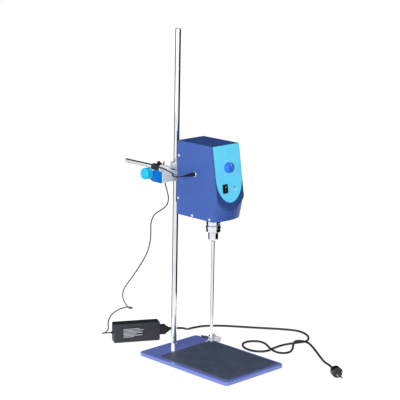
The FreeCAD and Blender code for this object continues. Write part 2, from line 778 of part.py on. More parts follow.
def controls():
    """Speed knob on its control, rocker switch, lamp, and the board behind them."""
    face = label_thickness
    knob = turned([(0, 0), (knob_skirt_radius, 0), (knob_skirt_radius, knob_skirt_height - 0.5),
                   (knob_skirt_radius - 0.5, knob_skirt_height), (knob_radius, knob_skirt_height),
                   (knob_radius - 0.4, knob_height - 2.8), (knob_radius - 1.1, knob_height - 1.3),
                   (knob_radius - 2.3, knob_height - 0.4), (knob_radius - 3.8, knob_height), (0, knob_height)],
                  (0, 0, 0), (0, 0, 1))
    flute = rod_between((knob_radius + knob_flute_radius * 0.4, 0, knob_skirt_height),
                        (knob_radius + knob_flute_radius * 0.4 - 0.4, 0, knob_height - 2.8),
                        knob_flute_radius)
    for step in range(knob_flutes):
        knob = knob.cut(spun(flute, (0, 0, 0), (0, 0, 1), 360 * step / knob_flutes))
    pointer = Part.makeBox(1.2, knob_radius - 4, 1.0, V(-0.6, 2.5, knob_height - 0.6))
    knob = knob.cut(pointer)
    shaft_hole = Part.makeCylinder(pot_shaft_radius, knob_height - 3, V(0, 0, -1))
    bush_room = Part.makeCylinder(pot_bush_radius + 3.4, 3.2, V(0, 0, -1))
    knob = knob.cut(shaft_hole).cut(bush_room)
    knob.Placement = fascia_placement(knob_across, knob_down, face + piece_gap)
    keep("speed_knob", knob)

    inside = -fascia_thickness - shell_wall
    shaft = Part.makeCylinder(pot_shaft_radius, knob_height - 4 - inside + 2, V(0, 0, inside - 2))
    shaft.Placement = fascia_placement(knob_across, knob_down, face + piece_gap)
    keep("control_shaft", shaft)

    body = Part.makeCylinder(pot_body_radius, pot_body_depth, V(0, 0, inside - pot_body_depth))
    bush = Part.makeCylinder(pot_bush_radius, face + 1.4 - inside, V(0, 0, inside))
    lugs = [Part.makeBox(1.4, 9, 0.6, V(x - 0.7, -pot_body_radius - 7, inside - pot_body_depth * 0.5))
            for x in (-5, 0, 5)]
    body = body.multiFuse([bush] + lugs)
    core = Part.makeCylinder(pot_shaft_radius + running_gap, 40, V(0, 0, inside - 3))
    body = body.cut(core)
    body.Placement = fascia_placement(knob_across, knob_down)
    keep("speed_control", body)

    bezel = Part.makeBox(switch_width, switch_height, switch_bezel,
                         V(-switch_width / 2, -switch_height / 2, face))
    bezel = fillet_edges(bezel, 1.0, lambda e: abs(e.tangentAt(e.FirstParameter).z) > 0.9)
    stem = Part.makeBox(switch_body_width, switch_body_height, switch_body_depth + face,
                        V(-switch_body_width / 2, -switch_body_height / 2, -switch_body_depth))
    pocket_w = rocker_width + 2 * piece_gap
    pocket_h = rocker_height + 2 * piece_gap
    pocket = Part.makeBox(pocket_w, pocket_h, 8, V(-pocket_w / 2, -pocket_h / 2, face + switch_bezel - 5.5))
    blades = [Part.makeBox(4.8, 0.8, 7, V(-2.4, y - 0.4, -switch_body_depth - 7)) for y in (-5.5, 0, 5.5)]
    holder = bezel.fuse(stem).cut(pocket).cut(rocker_pin(running_gap)).multiFuse(blades)
    holder.Placement = fascia_placement(switch_across, switch_down)
    keep("switch_body", holder)

    rocker = rocker_solid()
    rocker.Placement = fascia_placement(switch_across, switch_down).multiply(rocker.Placement)
    keep("switch_rocker", rocker)

    lens = turned([(0, -5), (led_radius, -5), (led_radius, face), (led_flange_radius, face),
                   (led_flange_radius, face + 0.5), (led_radius * 0.9, face + 1.1), (0, face + 1.6)],
                  (0, 0, 0), (0, 0, 1))
    lens.Placement = fascia_placement(led_across, led_down)
    keep("power_lamp", lens)


def rocker_pin(gap):
    """The rod that the rocker turns on, with both its ends in the switch's side walls."""
    reach = rocker_width / 2 + piece_gap + rocker_pin_reach + gap
    z = label_thickness + switch_bezel - rocker_pivot_depth
    return rod_between((-reach, 0, z), (reach, 0, z), rocker_pin_radius + gap)


def rocker_solid():
    """A rocker whose two pads slope from its middle, tilted to its rest side."""
    half = rocker_height / 2
    top = label_thickness + switch_bezel
    rise = 1.5
    profile = polygon([(-rocker_width / 2, -half, top + rise), (-rocker_width / 2, 0, top - 0.2),
                       (-rocker_width / 2, half, top + rise), (-rocker_width / 2, half - 1.0, top - 2.2),
                       (-rocker_width / 2, 0, top - 3.4), (-rocker_width / 2, -half + 1.0, top - 2.2)])
    pad = profile.extrude(V(rocker_width, 0, 0)).fuse(rocker_pin(0))
    return spun(pad, (0, 0, top - rocker_pivot_depth), (1, 0, 0), rocker_angle)


def board_holes():
    """Screw holes in the back panel for the board's standoffs."""
    return [rod_between((x, 0, z), (x, head_back_y + 1, z), 1.25 + screw_gap) for x, z in board_corners()]


def board_corners():
    inset = 4.0
    left = head_x + half_width - board_width - 10
    return [(left + dx, board_bottom_z + dz) for dx in (inset, board_width - inset)
            for dz in (inset, board_height - inset)]


def electronics():
    """A control board on standoffs, with its larger components, and the power inlet in the side."""
    panel_front = flange_back_y - back_panel_thickness
    left = head_x + half_width - board_width - 10
    front = panel_front - board_standoff - board_thickness
    board = box((left, front, board_bottom_z), (left + board_width, front + board_thickness,
                                                board_bottom_z + board_height))
    for x, z in board_corners():
        board = board.cut(rod_between((x, 0, z), (x, 100, z), 1.25 + screw_gap))
    parts = [rod_between((left + 12, front, board_bottom_z + 42), (left + 12, front - 12, board_bottom_z + 42), 5),
             rod_between((left + 26, front, board_bottom_z + 44), (left + 26, front - 10, board_bottom_z + 44), 4),
             box((left + 8, front - 2.5, board_bottom_z + 16), (left + 20, front, board_bottom_z + 26)),
             box((left + 27, front - 9, board_bottom_z + 10), (left + 38, front, board_bottom_z + 20))]
    keep("control_board", board.multiFuse(parts))
    side = head_x - half_width
    ring = turned([(plug_radius + piece_gap, 0), (jack_ring_radius, 0), (jack_ring_radius, jack_ring_height - 0.6),
                   (jack_ring_radius - 0.6, jack_ring_height), (plug_radius + piece_gap, jack_ring_height)],
                  (side, jack_y, jack_z), (-1, 0, 0))
    barrel = turned([(plug_radius + piece_gap, -12), (jack_radius, -12), (jack_radius, 0.1),
                     (plug_radius + piece_gap, 0.1)], (side, jack_y, jack_z), (-1, 0, 0))
    floor = rod_between((side + 12, jack_y, jack_z), (side + 14, jack_y, jack_z), jack_radius)
    pin = rod_between((side + 4, jack_y, jack_z), (side + 13, jack_y, jack_z), 1.0)
    keep("power_jack", ring.multiFuse([barrel, floor, pin]))

    plug = turned([(1.0 + screw_gap, -8), (2.7, -8), (2.7, 0.2), (plug_radius, 0.2),
                   (plug_radius, plug_grip_length), (lead_radius + 0.5, plug_length), (0, plug_length), (0, 1),
                   (1.0 + screw_gap, 1)], (side, jack_y, jack_z), (-1, 0, 0))
    keep("power_plug", plug)


# Drive

def gear(teeth, width, bore, place, phase):
    """A spur gear with involute flanks; the phase turns its first tooth."""
    pitch = gear_module * teeth / 2
    base = pitch * math.cos(math.radians(20))
    outer = pitch + gear_module
    root = pitch - 1.25 * gear_module

    def involute(radius):
        roll = math.sqrt(max((radius / base) ** 2 - 1, 0))
        return roll - math.atan(roll)

    half_tooth = math.pi / (2 * teeth) - gear_backlash / (2 * pitch)
    flank = half_tooth + involute(pitch)
    radii = [max(base, root) + (outer - max(base, root)) * k / 4 for k in range(5)]
    edges = []
    first = None
    last = None
    for tooth in range(teeth):
        centre = 2 * math.pi * tooth / teeth + math.radians(phase)
        rise = [(r, centre - flank + involute(r)) for r in radii]
        fall = [(r, centre + flank - involute(r)) for r in reversed(radii)]
        start = (root, rise[0][1])
        end = (root, fall[-1][1])
        spots = [start] + rise + fall + [end]
        spots = [V(r * math.cos(a), r * math.sin(a), 0) for r, a in spots]
        if last is not None:
            edges.append(Part.makeLine(last, spots[0]))
        else:
            first = spots[0]
        for a, b in zip(spots, spots[1:]):
            if (b - a).Length > 1e-6:
                edges.append(Part.makeLine(a, b))
        last = spots[-1]
    edges.append(Part.makeLine(last, first))
    blank = Part.Face(Part.Wire(edges)).extrude(V(0, 0, width))
    blank = blank.cut(Part.makeCylinder(bore, width + 2, V(0, 0, -1)))
    blank.translate(V(*place))
    return blank


motor_y = spindle_y + gear_module * (pinion_teeth + spindle_teeth) / 2


def ring_holes(x, y, circle, count, start, radius, low, high):
    """Upright rods round a circle."""
    rods = []
    for step in range(count):
        angle = math.radians(start + 360 * step / count)
        px = x + circle * math.cos(angle)
        py = y + circle * math.sin(angle)
        rods.append(rod_between((px, py, low), (px, py, high), radius))
    return rods


def post_places():
    """The four posts that carry the motor plate, clear of the gear and the bearing housing."""
    return [(head_x - 33, spindle_y - 24), (head_x + 33, spindle_y - 24),
            (head_x - 33, head_back_y - 16), (head_x + 33, head_back_y - 16)]


def floor_screw_holes():
    low = head_bottom_z - 1
    high = head_bottom_z + bottom_plate_thickness + 1
    holes = [rod_between((x, y, low), (x, y, high), 1.5 + screw_gap) for x, y in post_places()]
    return holes + ring_holes(head_x, spindle_y, housing_bolt_circle, 4, 45, 1.5 + screw_gap, low, high)


def drive():
    """Motor on its plate, gear pair, and the spindle in two ball bearings."""
    floor_top = head_bottom_z + bottom_plate_thickness
    housing = turned([(0, 0), (housing_flange_radius, 0), (housing_flange_radius, housing_flange_height),
                      (bearing_housing_radius, housing_flange_height),
                      (bearing_housing_radius, bearing_housing_height), (0, bearing_housing_height)],
                     (head_x, spindle_y, floor_top), (0, 0, 1))
    seat = bearing_outer_radius
    shoulder = seat - 2.5
    bore = turned([(0, -1), (seat, -1), (seat, bearing_width), (shoulder, bearing_width),
                   (shoulder, bearing_housing_height - bearing_width), (seat, bearing_housing_height - bearing_width),
                   (seat, bearing_housing_height + 1), (0, bearing_housing_height + 1)],
                  (head_x, spindle_y, floor_top), (0, 0, 1))
    housing = housing.cut(bore)
    for hole in ring_holes(head_x, spindle_y, housing_bolt_circle, 4, 45, 1.5 + screw_gap,
                           floor_top - 1, floor_top + housing_flange_height + 1):
        housing = housing.cut(hole)
    keep("bearing_housing", housing)

    screws = []
    for step in range(4):
        angle = math.radians(45 + 90 * step)
        spot = (head_x + housing_bolt_circle * math.cos(angle), spindle_y + housing_bolt_circle * math.sin(angle),
                floor_top + housing_flange_height)
        screws.append(pan_screw(spot, (0, 0, 1), housing_flange_height + bottom_plate_thickness - 0.5,
                                1.5, drive_screw_head_radius, drive_screw_head_height))

    bearings = []
    inner = spindle_radius + running_gap
    for low in (floor_top, floor_top + bearing_housing_height - bearing_width):
        race = turned([(inner, 0.1), (seat, 0.1), (seat, bearing_width), (inner, bearing_width)],
                      (head_x, spindle_y, low), (0, 0, 1))
        groove = turned([(inner + 2.2, -1), (seat - 2.2, -1), (seat - 2.2, 0.8), (inner + 2.2, 0.8)],
                        (head_x, spindle_y, low), (0, 0, 1))
        bearings.append(race.cut(groove))
    keep("spindle_bearings", *bearings)

    spindle_top = motor_plate_z - 2
    thread_foot = chuck_top_z - 11
    spindle = turned([(0, thread_foot), (spindle_radius - 1, thread_foot), (spindle_radius - 1, chuck_top_z + 1),
                      (spindle_radius, chuck_top_z + 1), (spindle_radius, spindle_top - 0.8),
                      (spindle_radius - 0.8, spindle_top), (0, spindle_top)],
                     (head_x, spindle_y, 0), (0, 0, 1))
    keep("spindle", spindle)

    wheel = gear(spindle_teeth, gear_width, spindle_radius, (head_x, spindle_y, gear_bottom_z), 90)
    hub = turned([(spindle_radius, 0), (11, 0), (11, -0.8), (spindle_radius, -0.8)],
                 (head_x, spindle_y, gear_bottom_z), (0, 0, 1))
    for hole in ring_holes(head_x, spindle_y, 16.0, 6, 0, 3.6, gear_bottom_z - 2, gear_bottom_z + gear_width + 2):
        wheel = wheel.cut(hole)
    keep("spindle_gear", wheel.fuse(hub))
    pinion_phase = -90 + 180 / pinion_teeth
    pinion = gear(pinion_teeth, gear_width, motor_shaft_radius, (head_x, motor_y, gear_bottom_z), pinion_phase)
    shaft = rod_between((head_x, motor_y, gear_bottom_z), (head_x, motor_y, motor_plate_z + motor_shaft_length),
                        motor_shaft_radius)
    keep("motor_pinion", pinion.fuse(shaft))

    plate_top_z = motor_plate_z + motor_plate_thickness
    inside = shell_wall + 3
    plate = box((head_x - half_width + inside, spindle_y - 30, motor_plate_z),
                (head_x + half_width - inside, head_back_y - 8, plate_top_z))
    plate = fillet_edges(plate, 5, is_upright)
    plate = plate.cut(rod_between((head_x, motor_y, 0), (head_x, motor_y, far), motor_boss_radius + piece_gap))
    for x, y in post_places():
        plate = plate.cut(rod_between((x, y, 0), (x, y, far), 1.5 + screw_gap))
    keep("motor_plate", plate)

    posts = []
    for x, y in post_places():
        post = hexagon(post_radius * 2, motor_plate_z - floor_top, (x, y, floor_top))
        posts.append(post.cut(rod_between((x, y, 0), (x, y, far), 1.5 + screw_gap)))
        screws.append(pan_screw((x, y, plate_top_z), (0, 0, 1), 12, 1.5, drive_screw_head_radius,
                                drive_screw_head_height))
    keep("plate_posts", *posts)
    keep("drive_screws", *screws)

    can = turned([(0, 0), (motor_radius - 1, 0), (motor_radius, 1), (motor_radius, motor_height - 2),
                  (motor_radius - 2, motor_height), (motor_boss_radius, motor_height),
                  (motor_boss_radius, motor_height + motor_cap_height * 0.4), (0, motor_height + motor_cap_height * 0.4)],
                 (head_x, motor_y, plate_top_z), (0, 0, 1))
    boss = rod_between((head_x, motor_y, plate_top_z - motor_boss_height), (head_x, motor_y, plate_top_z + 1),
                       motor_boss_radius)
    tunnel = rod_between((head_x, motor_y, 0), (head_x, motor_y, motor_plate_z + motor_shaft_length + piece_gap),
                         motor_shaft_radius + running_gap)
    keep("motor_can", can.fuse(boss).cut(tunnel))


# Chuck and tool

def jaw_direction(step):
    """The way a jaw slides as it opens: up along the spindle and outwards."""
    angle = math.radians(90 + 360 * step / jaw_count)
    tilt = math.radians(jaw_tilt)
    return V(math.cos(angle) * math.sin(tilt), math.sin(angle) * math.sin(tilt), math.cos(tilt))


def jaw_foot(step):
    """The middle of a jaw's lower end."""
    angle = math.radians(90 + 360 * step / jaw_count)
    out = tool_radius + jaw_gap + jaw_radius * 0.75
    return V(head_x + out * math.cos(angle), spindle_y + out * math.sin(angle), nose_tip_z - 1.5)


def chuck():
    """A keyed drill chuck: core, toothed sleeve and three sloping jaws on the tool's shank."""
    core = turned([(0, nose_tip_z), (nose_tip_radius, nose_tip_z), (nose_radius - 1.2, nose_round_z - 3.0),
                   (nose_radius, nose_round_z), (nose_radius, sleeve_bottom_z - 0.6),
                   (chuck_core_radius, sleeve_bottom_z - 0.6 + 1.2),
                   (chuck_core_radius, sleeve_top_z + seat_gap), (chuck_barrel_radius, sleeve_top_z + seat_gap),
                   (chuck_barrel_radius, chuck_top_z - 2.5), (chuck_barrel_radius - 2.5, chuck_top_z),
                   (0, chuck_top_z)], (head_x, spindle_y, 0), (0, 0, 1))
    core = core.cut(rod_between((head_x, spindle_y, nose_tip_z - 1), (head_x, spindle_y, tool_top_z + 0.5),
                                tool_radius + 1.0))
    core = core.cut(rod_between((head_x, spindle_y, chuck_top_z - 11.5), (head_x, spindle_y, chuck_top_z + 1),
                                spindle_radius - 1))
    for step in range(jaw_count):
        start = jaw_foot(step) - jaw_direction(step) * 4
        end = jaw_foot(step) + jaw_direction(step) * (jaw_length + 6)
        core = core.cut(rod_between(tuple(start), tuple(end), jaw_radius + running_gap * 1.6))
        angle = math.radians(30 + 360 * step / jaw_count)
        way = V(math.cos(angle), math.sin(angle), 0)
        place = V(head_x, spindle_y, sleeve_top_z + key_hole_radius + 1.6)
        core = core.cut(rod_between(tuple(place + way * (chuck_barrel_radius - key_hole_depth)),
                                    tuple(place + way * (chuck_barrel_radius + 2)), key_hole_radius))
    keep("chuck_core", core)

    bore = chuck_core_radius + running_gap
    ring_foot = sleeve_top_z - sleeve_ring_height
    sleeve = turned([(bore, sleeve_bottom_z + 0.7), (sleeve_radius - 1.2, sleeve_bottom_z + 0.7),
                     (sleeve_radius, sleeve_bottom_z + 1.9), (sleeve_radius, ring_foot - 0.6),
                     (sleeve_ring_radius, ring_foot), (sleeve_ring_radius, sleeve_top_z - 2.4),
                     (chuck_barrel_radius - 0.6, sleeve_top_z), (bore, sleeve_top_z)],
                    (head_x, spindle_y, 0), (0, 0, 1))
    notch = polygon([(chuck_barrel_radius - 1.6, -0.9, sleeve_top_z + 0.5),
                     (chuck_barrel_radius - 1.6, 0.9, sleeve_top_z + 0.5),
                     (chuck_barrel_radius - 1.6, 0.25, sleeve_top_z - 1.8),
                     (chuck_barrel_radius - 1.6, -0.25, sleeve_top_z - 1.8)]).extrude(V(5, 0, -1.4))
    notch.translate(V(head_x, spindle_y, 0))
    for step in range(sleeve_teeth):
        sleeve = sleeve.cut(spun(notch, (head_x, spindle_y, 0), (0, 0, 1), 360 * step / sleeve_teeth))
    keep("chuck_sleeve", sleeve)

    shank = rod_between((head_x, spindle_y, nose_tip_z - 10), (head_x, spindle_y, tool_top_z),
                        tool_radius + jaw_gap)
    for step in range(jaw_count):
        foot = jaw_foot(step)
        peg = rod_between(tuple(foot), tuple(foot + jaw_direction(step) * jaw_length), jaw_radius)
        keep(f"chuck_jaw_{step + 1}", peg.cut(shank))

    tool = turned([(0, tool_bottom_z), (tool_radius - 0.6, tool_bottom_z), (tool_radius, tool_bottom_z + 0.6),
                   (tool_radius, tool_top_z - 0.6), (tool_radius - 0.6, tool_top_z), (0, tool_top_z)],
                  (head_x, spindle_y, 0), (0, 0, 1))
    keep("stirring_shaft", tool)

    hub = turned([(tool_radius, 0), (impeller_hub_radius - 0.8, 0), (impeller_hub_radius, 0.8),
                  (impeller_hub_radius, impeller_hub_height - 0.8),
                  (impeller_hub_radius - 0.8, impeller_hub_height), (tool_radius, impeller_hub_height)],
                 (head_x, spindle_y, impeller_z), (0, 0, 1))
    blade = Part.makeBox(impeller_radius - impeller_hub_radius + 1.2, blade_width, blade_thickness,
                         V(impeller_hub_radius - 1.2, -blade_width / 2, -blade_thickness / 2))
    blade = fillet_edges(blade, 4.0, lambda e: abs(e.tangentAt(e.FirstParameter).z) > 0.9
                         and e.BoundBox.XMin > impeller_hub_radius)
    blade = spun(blade, (0, 0, 0), (1, 0, 0), blade_pitch)
    blade.translate(V(head_x, spindle_y, impeller_z + impeller_hub_height / 2))
    blades = [spun(blade, (head_x, spindle_y, 0), (0, 0, 1), 360 * k / blade_count + 20)
              for k in range(blade_count)]
    bore_cut = rod_between((head_x, spindle_y, impeller_z - 1), (head_x, spindle_y, impeller_z + 30), tool_radius)
    keep("impeller", hub.multiFuse(blades).cut(bore_cut))


# Power adaptor and leads

adaptor_along = V(math.cos(math.radians(adaptor_angle)), math.sin(math.radians(adaptor_angle)), 0)
adaptor_behind = V(-adaptor_along.y, adaptor_along.x, 0)
adaptor_middle = V(adaptor_left[0], adaptor_left[1], 0) + adaptor_behind * (adaptor_thickness / 2)


def by_adaptor(along, up):
    """A point along the adaptor from its left end, on its middle plane."""
    spot = adaptor_middle + adaptor_along * along + V(0, 0, up)
    return (spot.x, spot.y, spot.z)


def adaptor_placed(shape):
    """Puts a shape made along +X from the origin at the adaptor's left end."""
    shape.Placement = FreeCAD.Placement(adaptor_middle, FreeCAD.Rotation(V(0, 0, 1), adaptor_angle))
    return shape


def adaptor():
    """A sealed two-part mains adaptor, on its long edge, with the connector in its right end."""
    half = adaptor_thickness / 2
    case = box((0, -half, 0), (adaptor_length, half, adaptor_height))
    case = case.makeFillet(adaptor_edge, case.Edges)
    seam = box((-1, -adaptor_seam / 2, -1), (adaptor_length + 1, adaptor_seam / 2, adaptor_height + 1))
    core = box((adaptor_seam, -half, adaptor_seam), (adaptor_length - adaptor_seam, half,
                                                     adaptor_height - adaptor_seam))
    case = case.cut(seam.cut(core))
    middle = adaptor_height / 2
    socket = box((adaptor_length - inlet_depth, -inlet_height / 2, middle - inlet_width / 2),
                 (adaptor_length + 1, inlet_height / 2, middle + inlet_width / 2))
    case = case.cut(socket)
    case = case.cut(rod_between((-1, 0, middle), (6, 0, middle), lead_radius + 1.7))
    keep("adaptor_case", adaptor_placed(case))

    gap = piece_gap
    inlet = box((adaptor_length - inlet_depth, -inlet_height / 2 + 0.05, middle - inlet_width / 2 + 0.05),
                (adaptor_length, inlet_height / 2 - 0.05, middle + inlet_width / 2 - 0.05))
    hollow = box((adaptor_length - inlet_depth + 1.5, -connector_height / 2 - gap, middle - connector_width / 2 - gap),
                 (adaptor_length + 1, connector_height / 2 + gap, middle + connector_width / 2 + gap))
    keep("adaptor_inlet", adaptor_placed(inlet.cut(hollow)))

    # the connector seats in the inlet and tapers to its strain relief
    start = adaptor_length - inlet_depth + 1.6
    nose = box((start, -connector_height / 2, middle - connector_width / 2),
               (start + inlet_depth + 2, connector_height / 2, middle + connector_width / 2))
    rim = 1.2
    body_end = adaptor_length + connector_body_length
    body = box((adaptor_length + 0.4, -connector_height / 2 - rim, middle - connector_width / 2 - rim),
               (body_end, connector_height / 2 + rim, middle + connector_width / 2 + rim))
    body = body.makeFillet(rim * 0.9, body.Edges)

    def ring(x, half_y, half_z):
        corners = [(x, -half_y, middle - half_z), (x, half_y, middle - half_z),
                   (x, half_y, middle + half_z), (x, -half_y, middle + half_z)]
        return Part.makePolygon([V(*p) for p in corners + corners[:1]])

    taper_end = body_end + connector_taper_length
    taper = Part.makeLoft([ring(body_end - rim, connector_height / 2, connector_width / 2),
                           ring(taper_end, mains_radius + 2, mains_radius + 2)], True, True)
    relief = cone_between((taper_end - 1, 0, middle), (taper_end + connector_relief_length, 0, middle),
                          mains_radius + 1.8, mains_radius + 0.6)
    keep("mains_connector", adaptor_placed(nose.multiFuse([body, taper, relief])))

    grip = cone_between((5.9, 0, middle), (-adaptor_relief_length, 0, middle), lead_radius + 1.6,
                        lead_radius + 0.5)
    ribs = [rod_between((-1.4 - 2.4 * k, 0, middle), (-2.5 - 2.4 * k, 0, middle), lead_radius + 1.7 - 0.2 * k)
            for k in range(2)]
    keep("adaptor_relief", adaptor_placed(grip.multiFuse(ribs)))


def mains_plug():
    """A moulded three-pin plug that lies on the bench at the lead's far end."""
    heading = V(*mains_route[-1]) - V(*mains_route[-2])
    turn = FreeCAD.Rotation(V(0, 0, 1), heading)
    body = turned([(0, 0), (mains_radius + 0.7, 0), (mains_radius + 1.8, plug_relief_reach),
                   (plug_body_radius * 0.8, plug_relief_reach + 6), (plug_body_radius, plug_relief_reach + 12),
                   (plug_body_radius, plug_body_end - 1), (plug_body_radius - 1, plug_body_end),
                   (0, plug_body_end)], (0, 0, 0), (0, 0, 1))
    pins = []
    for side in (-1, 1):
        pins.append(box((side * blade_spacing / 2 - 0.75, 0.8, plug_body_end - 6),
                        (side * blade_spacing / 2 + 0.75, 7.1, plug_body_end + blade_reach)))
    pins.append(rod_between((0, -7.5, plug_body_end - 6), (0, -7.5, plug_body_end + earth_reach), 2.4))
    for pin in pins:
        body = body.cut(pin)
    for shape in [body] + pins:
        shape.Placement = FreeCAD.Placement(V(*mains_route[-1]), turn)
    keep("mains_plug", body)
    keep("plug_pins", *pins)


# Routes of the leads. The low-voltage lead runs from the head's plug to the coil on the arm, and from the
# coil to the adaptor. Its second part is cut where it passes from one moving piece to the next.
coil_end_y = coil_start_y + coil_length
coil_radius = arm_radius + lead_radius + coil_gap
coil_approach = (arm_x - 11.6, coil_start_y - 5.0, arm_z + 4.0)
coil_entry = (arm_x - 7.8, coil_start_y + 6.5, arm_z + 3.6)
plug_end = (head_x - half_width - plug_length, jack_y, jack_z)
relief_end = by_adaptor(-adaptor_relief_length, adaptor_height / 2)
connector_end = by_adaptor(adaptor_length + connector_body_length + connector_taper_length
                           + connector_relief_length, adaptor_height / 2)
relief_approach = by_adaptor(-adaptor_relief_length - 12.0, adaptor_height / 2)
connector_exit = by_adaptor(adaptor_length + connector_body_length + connector_taper_length
                            + connector_relief_length + 12.0, adaptor_height / 2)
floor_z = 0.2
lead_rest = lead_radius + floor_z
mains_rest = mains_radius + floor_z

head_lead_route = [
    plug_end, (-105.0, jack_y, jack_z), (-112.5, 14.5, 472.5), (-110.5, 26.0, 472.0), (-101.0, 37.0, 472.0),
    (-88.5, 51.0, 470.8), (-78.0, 68.0, 469.8), (-70.0, 86.0, 469.2), (-63.0, 103.0, 469.2),
    (-57.5, 118.0, 469.4), coil_approach, coil_entry,
]

drop_lead_route = [
    (arm_x, coil_end_y + lead_radius, arm_z - coil_radius), (-35.0, coil_end_y + lead_radius, 457.9),
    (-23.5, 166.0, 451.5), (-11.0, 167.5, 438.5), (-1.5, 168.5, 421.5), (5.0, 168.0, 401.0), (10.5, 165.5, 380.0),
    (7.0, 165.5, 361.5), (-10.0, 167.0, 351.5), (-31.0, 171.0, 344.0), (-39.5, 176.0, 324.0),
    (-33.5, 181.5, 299.0), (-26.5, 190.0, 271.0), (-22.5, 203.0, 241.0), (-23.5, 221.0, 211.0),
    (-19.0, 243.0, 187.0), (-8.0, 271.0, 161.0), (5.0, 309.0, 129.0), (23.0, 345.0, 98.0),
    (49.0, 375.0, 68.0), (83.0, 403.0, 39.0), (116.0, 427.0, 15.0), (136.0, 439.0, 4.0),
    (151.0, 446.0, lead_rest), (151.0, 459.0, lead_rest), (139.0, 465.0, lead_rest),
    (122.0, 463.5, lead_rest), (101.0, 457.0, lead_rest), (74.0, 443.5, lead_rest),
    (44.0, 421.0, lead_rest), (15.0, 394.0, lead_rest), (-8.0, 366.0, lead_rest), (-27.0, 346.0, 2.5),
    (-46.0, 332.0, 4.3), (-66.0, 319.0, 8.5), (-83.0, 305.0, 14.5), (-92.0, 292.0, 21.5),
    relief_approach, relief_end,
]
coil_stretch_end = 3
hang_stretch_end = 15

mains_route = [
    connector_end, connector_exit, (86.0, 186.5, 21.5), (104.0, 193.0, 14.0),
    (123.0, 204.0, 6.0), (148.0, 211.0, mains_rest), (181.0, 203.0, mains_rest),
    (217.0, 173.0, mains_rest), (247.0, 133.0, mains_rest), (281.0, 88.0, mains_rest),
    (315.0, 45.0, mains_rest), (337.0, 6.0, mains_rest), (323.0, -36.0, mains_rest),
    (288.0, -65.0, 4.0), (250.0, -67.0, 9.2), (217.0, -43.0, 5.0), (182.0, -41.0, mains_rest),
    (148.0, -47.0, mains_rest), (125.0, -20.0, mains_rest), (131.0, 19.0, mains_rest),
    (163.0, 43.0, mains_rest), (191.0, 23.0, 4.5), (182.0, -14.0, 9.2), (163.0, -44.0, 8.8),
    (158.0, -76.0, 4.5), (184.0, -92.0, mains_rest), (214.0, -78.0, mains_rest),
    (243.0, -53.0, mains_rest), (270.0, -38.0, mains_rest), (284.0, -64.0, mains_rest),
    (265.0, -98.0, mains_rest), (238.0, -136.0, mains_rest), (209.0, -176.0, 3.5),
    (184.0, -208.0, 8.0), (169.0, -231.0, plug_body_radius), (159.0, -249.0, plug_body_radius),
]


def coil():
    """The turns tied round the arm, as one sleeve of their outer shape, and the tie with its loose tail."""
    thin = coil_radius + lead_radius
    inner = coil_radius - lead_radius
    sleeve = turned([(inner, 0), (coil_thick_radius, 0), (coil_thick_radius, coil_thick_length),
                     (thin, coil_thick_length + coil_step), (thin, coil_length), (inner, coil_length)],
                    (arm_x, coil_start_y, arm_z), (0, 1, 0))
    keep("lead_coil", sleeve.cut(rod_between(coil_approach, coil_entry, lead_radius + running_gap)))

    bore = coil_thick_radius + tie_clearance
    tie_y = coil_start_y + coil_length * tie_place
    band = rod_between((arm_x, tie_y, arm_z), (arm_x, tie_y + tie_width, arm_z), bore + tie_thickness)
    crown = arm_z + bore
    head = box((arm_x - tie_head / 2, tie_y - 0.8, crown), (arm_x + tie_head / 2, tie_y + tie_width + 0.8,
                                                            crown + 4.2))
    tail_profile = [(arm_x + tie_head / 2 - 0.5, crown + 1.4), (arm_x + 8.0, crown - 0.4),
                    (arm_x + 14.0, crown - tie_tail_drop), (arm_x + 15.4, crown - tie_tail_drop),
                    (arm_x + 17.6, crown + tie_tail_rise), (arm_x + 18.6, crown + tie_tail_rise - 0.3),
                    (arm_x + 16.4, crown - tie_tail_drop - 1.1), (arm_x + 13.6, crown - tie_tail_drop - 1.1),
                    (arm_x + 7.4, crown - 2.1), (arm_x + tie_head / 2 - 0.5, crown - 0.4)]
    tail = polygon([(x, tie_y, z) for x, z in tail_profile]).extrude(V(0, tie_width, 0))
    tie = band.multiFuse([head, tail])
    keep("coil_tie", tie.cut(rod_between((arm_x, tie_y - 1, arm_z), (arm_x, tie_y + tie_width + 1, arm_z), bore)))


def leads():
    """Every free lead, as plain tubes along the routes."""
    cord(["lead_to_head"], head_lead_route, lead_radius, [])
    cord(["lead_from_coil", "lead_hang", "lead_foot"], drop_lead_route, lead_radius,
         [coil_stretch_end, hang_stretch_end])
    cord(["mains_lead"], mains_route, mains_radius, [])


for make in (stand, cross_clamp, arm_and_flange, head_case, fascia, controls, electronics, drive, chuck, adaptor,
             mains_plug, coil, leads):
    make()

os.makedirs("parts", exist_ok=True)
for name, shape in pieces.items():
    shape.exportStep(f"parts/{name}.step")
    print(f"{name}: solids {len(shape.Solids)}, volume {shape.Volume:.1f}, valid {shape.isValid()}")
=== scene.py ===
import math

import bpy
from mathutils import Matrix, Vector


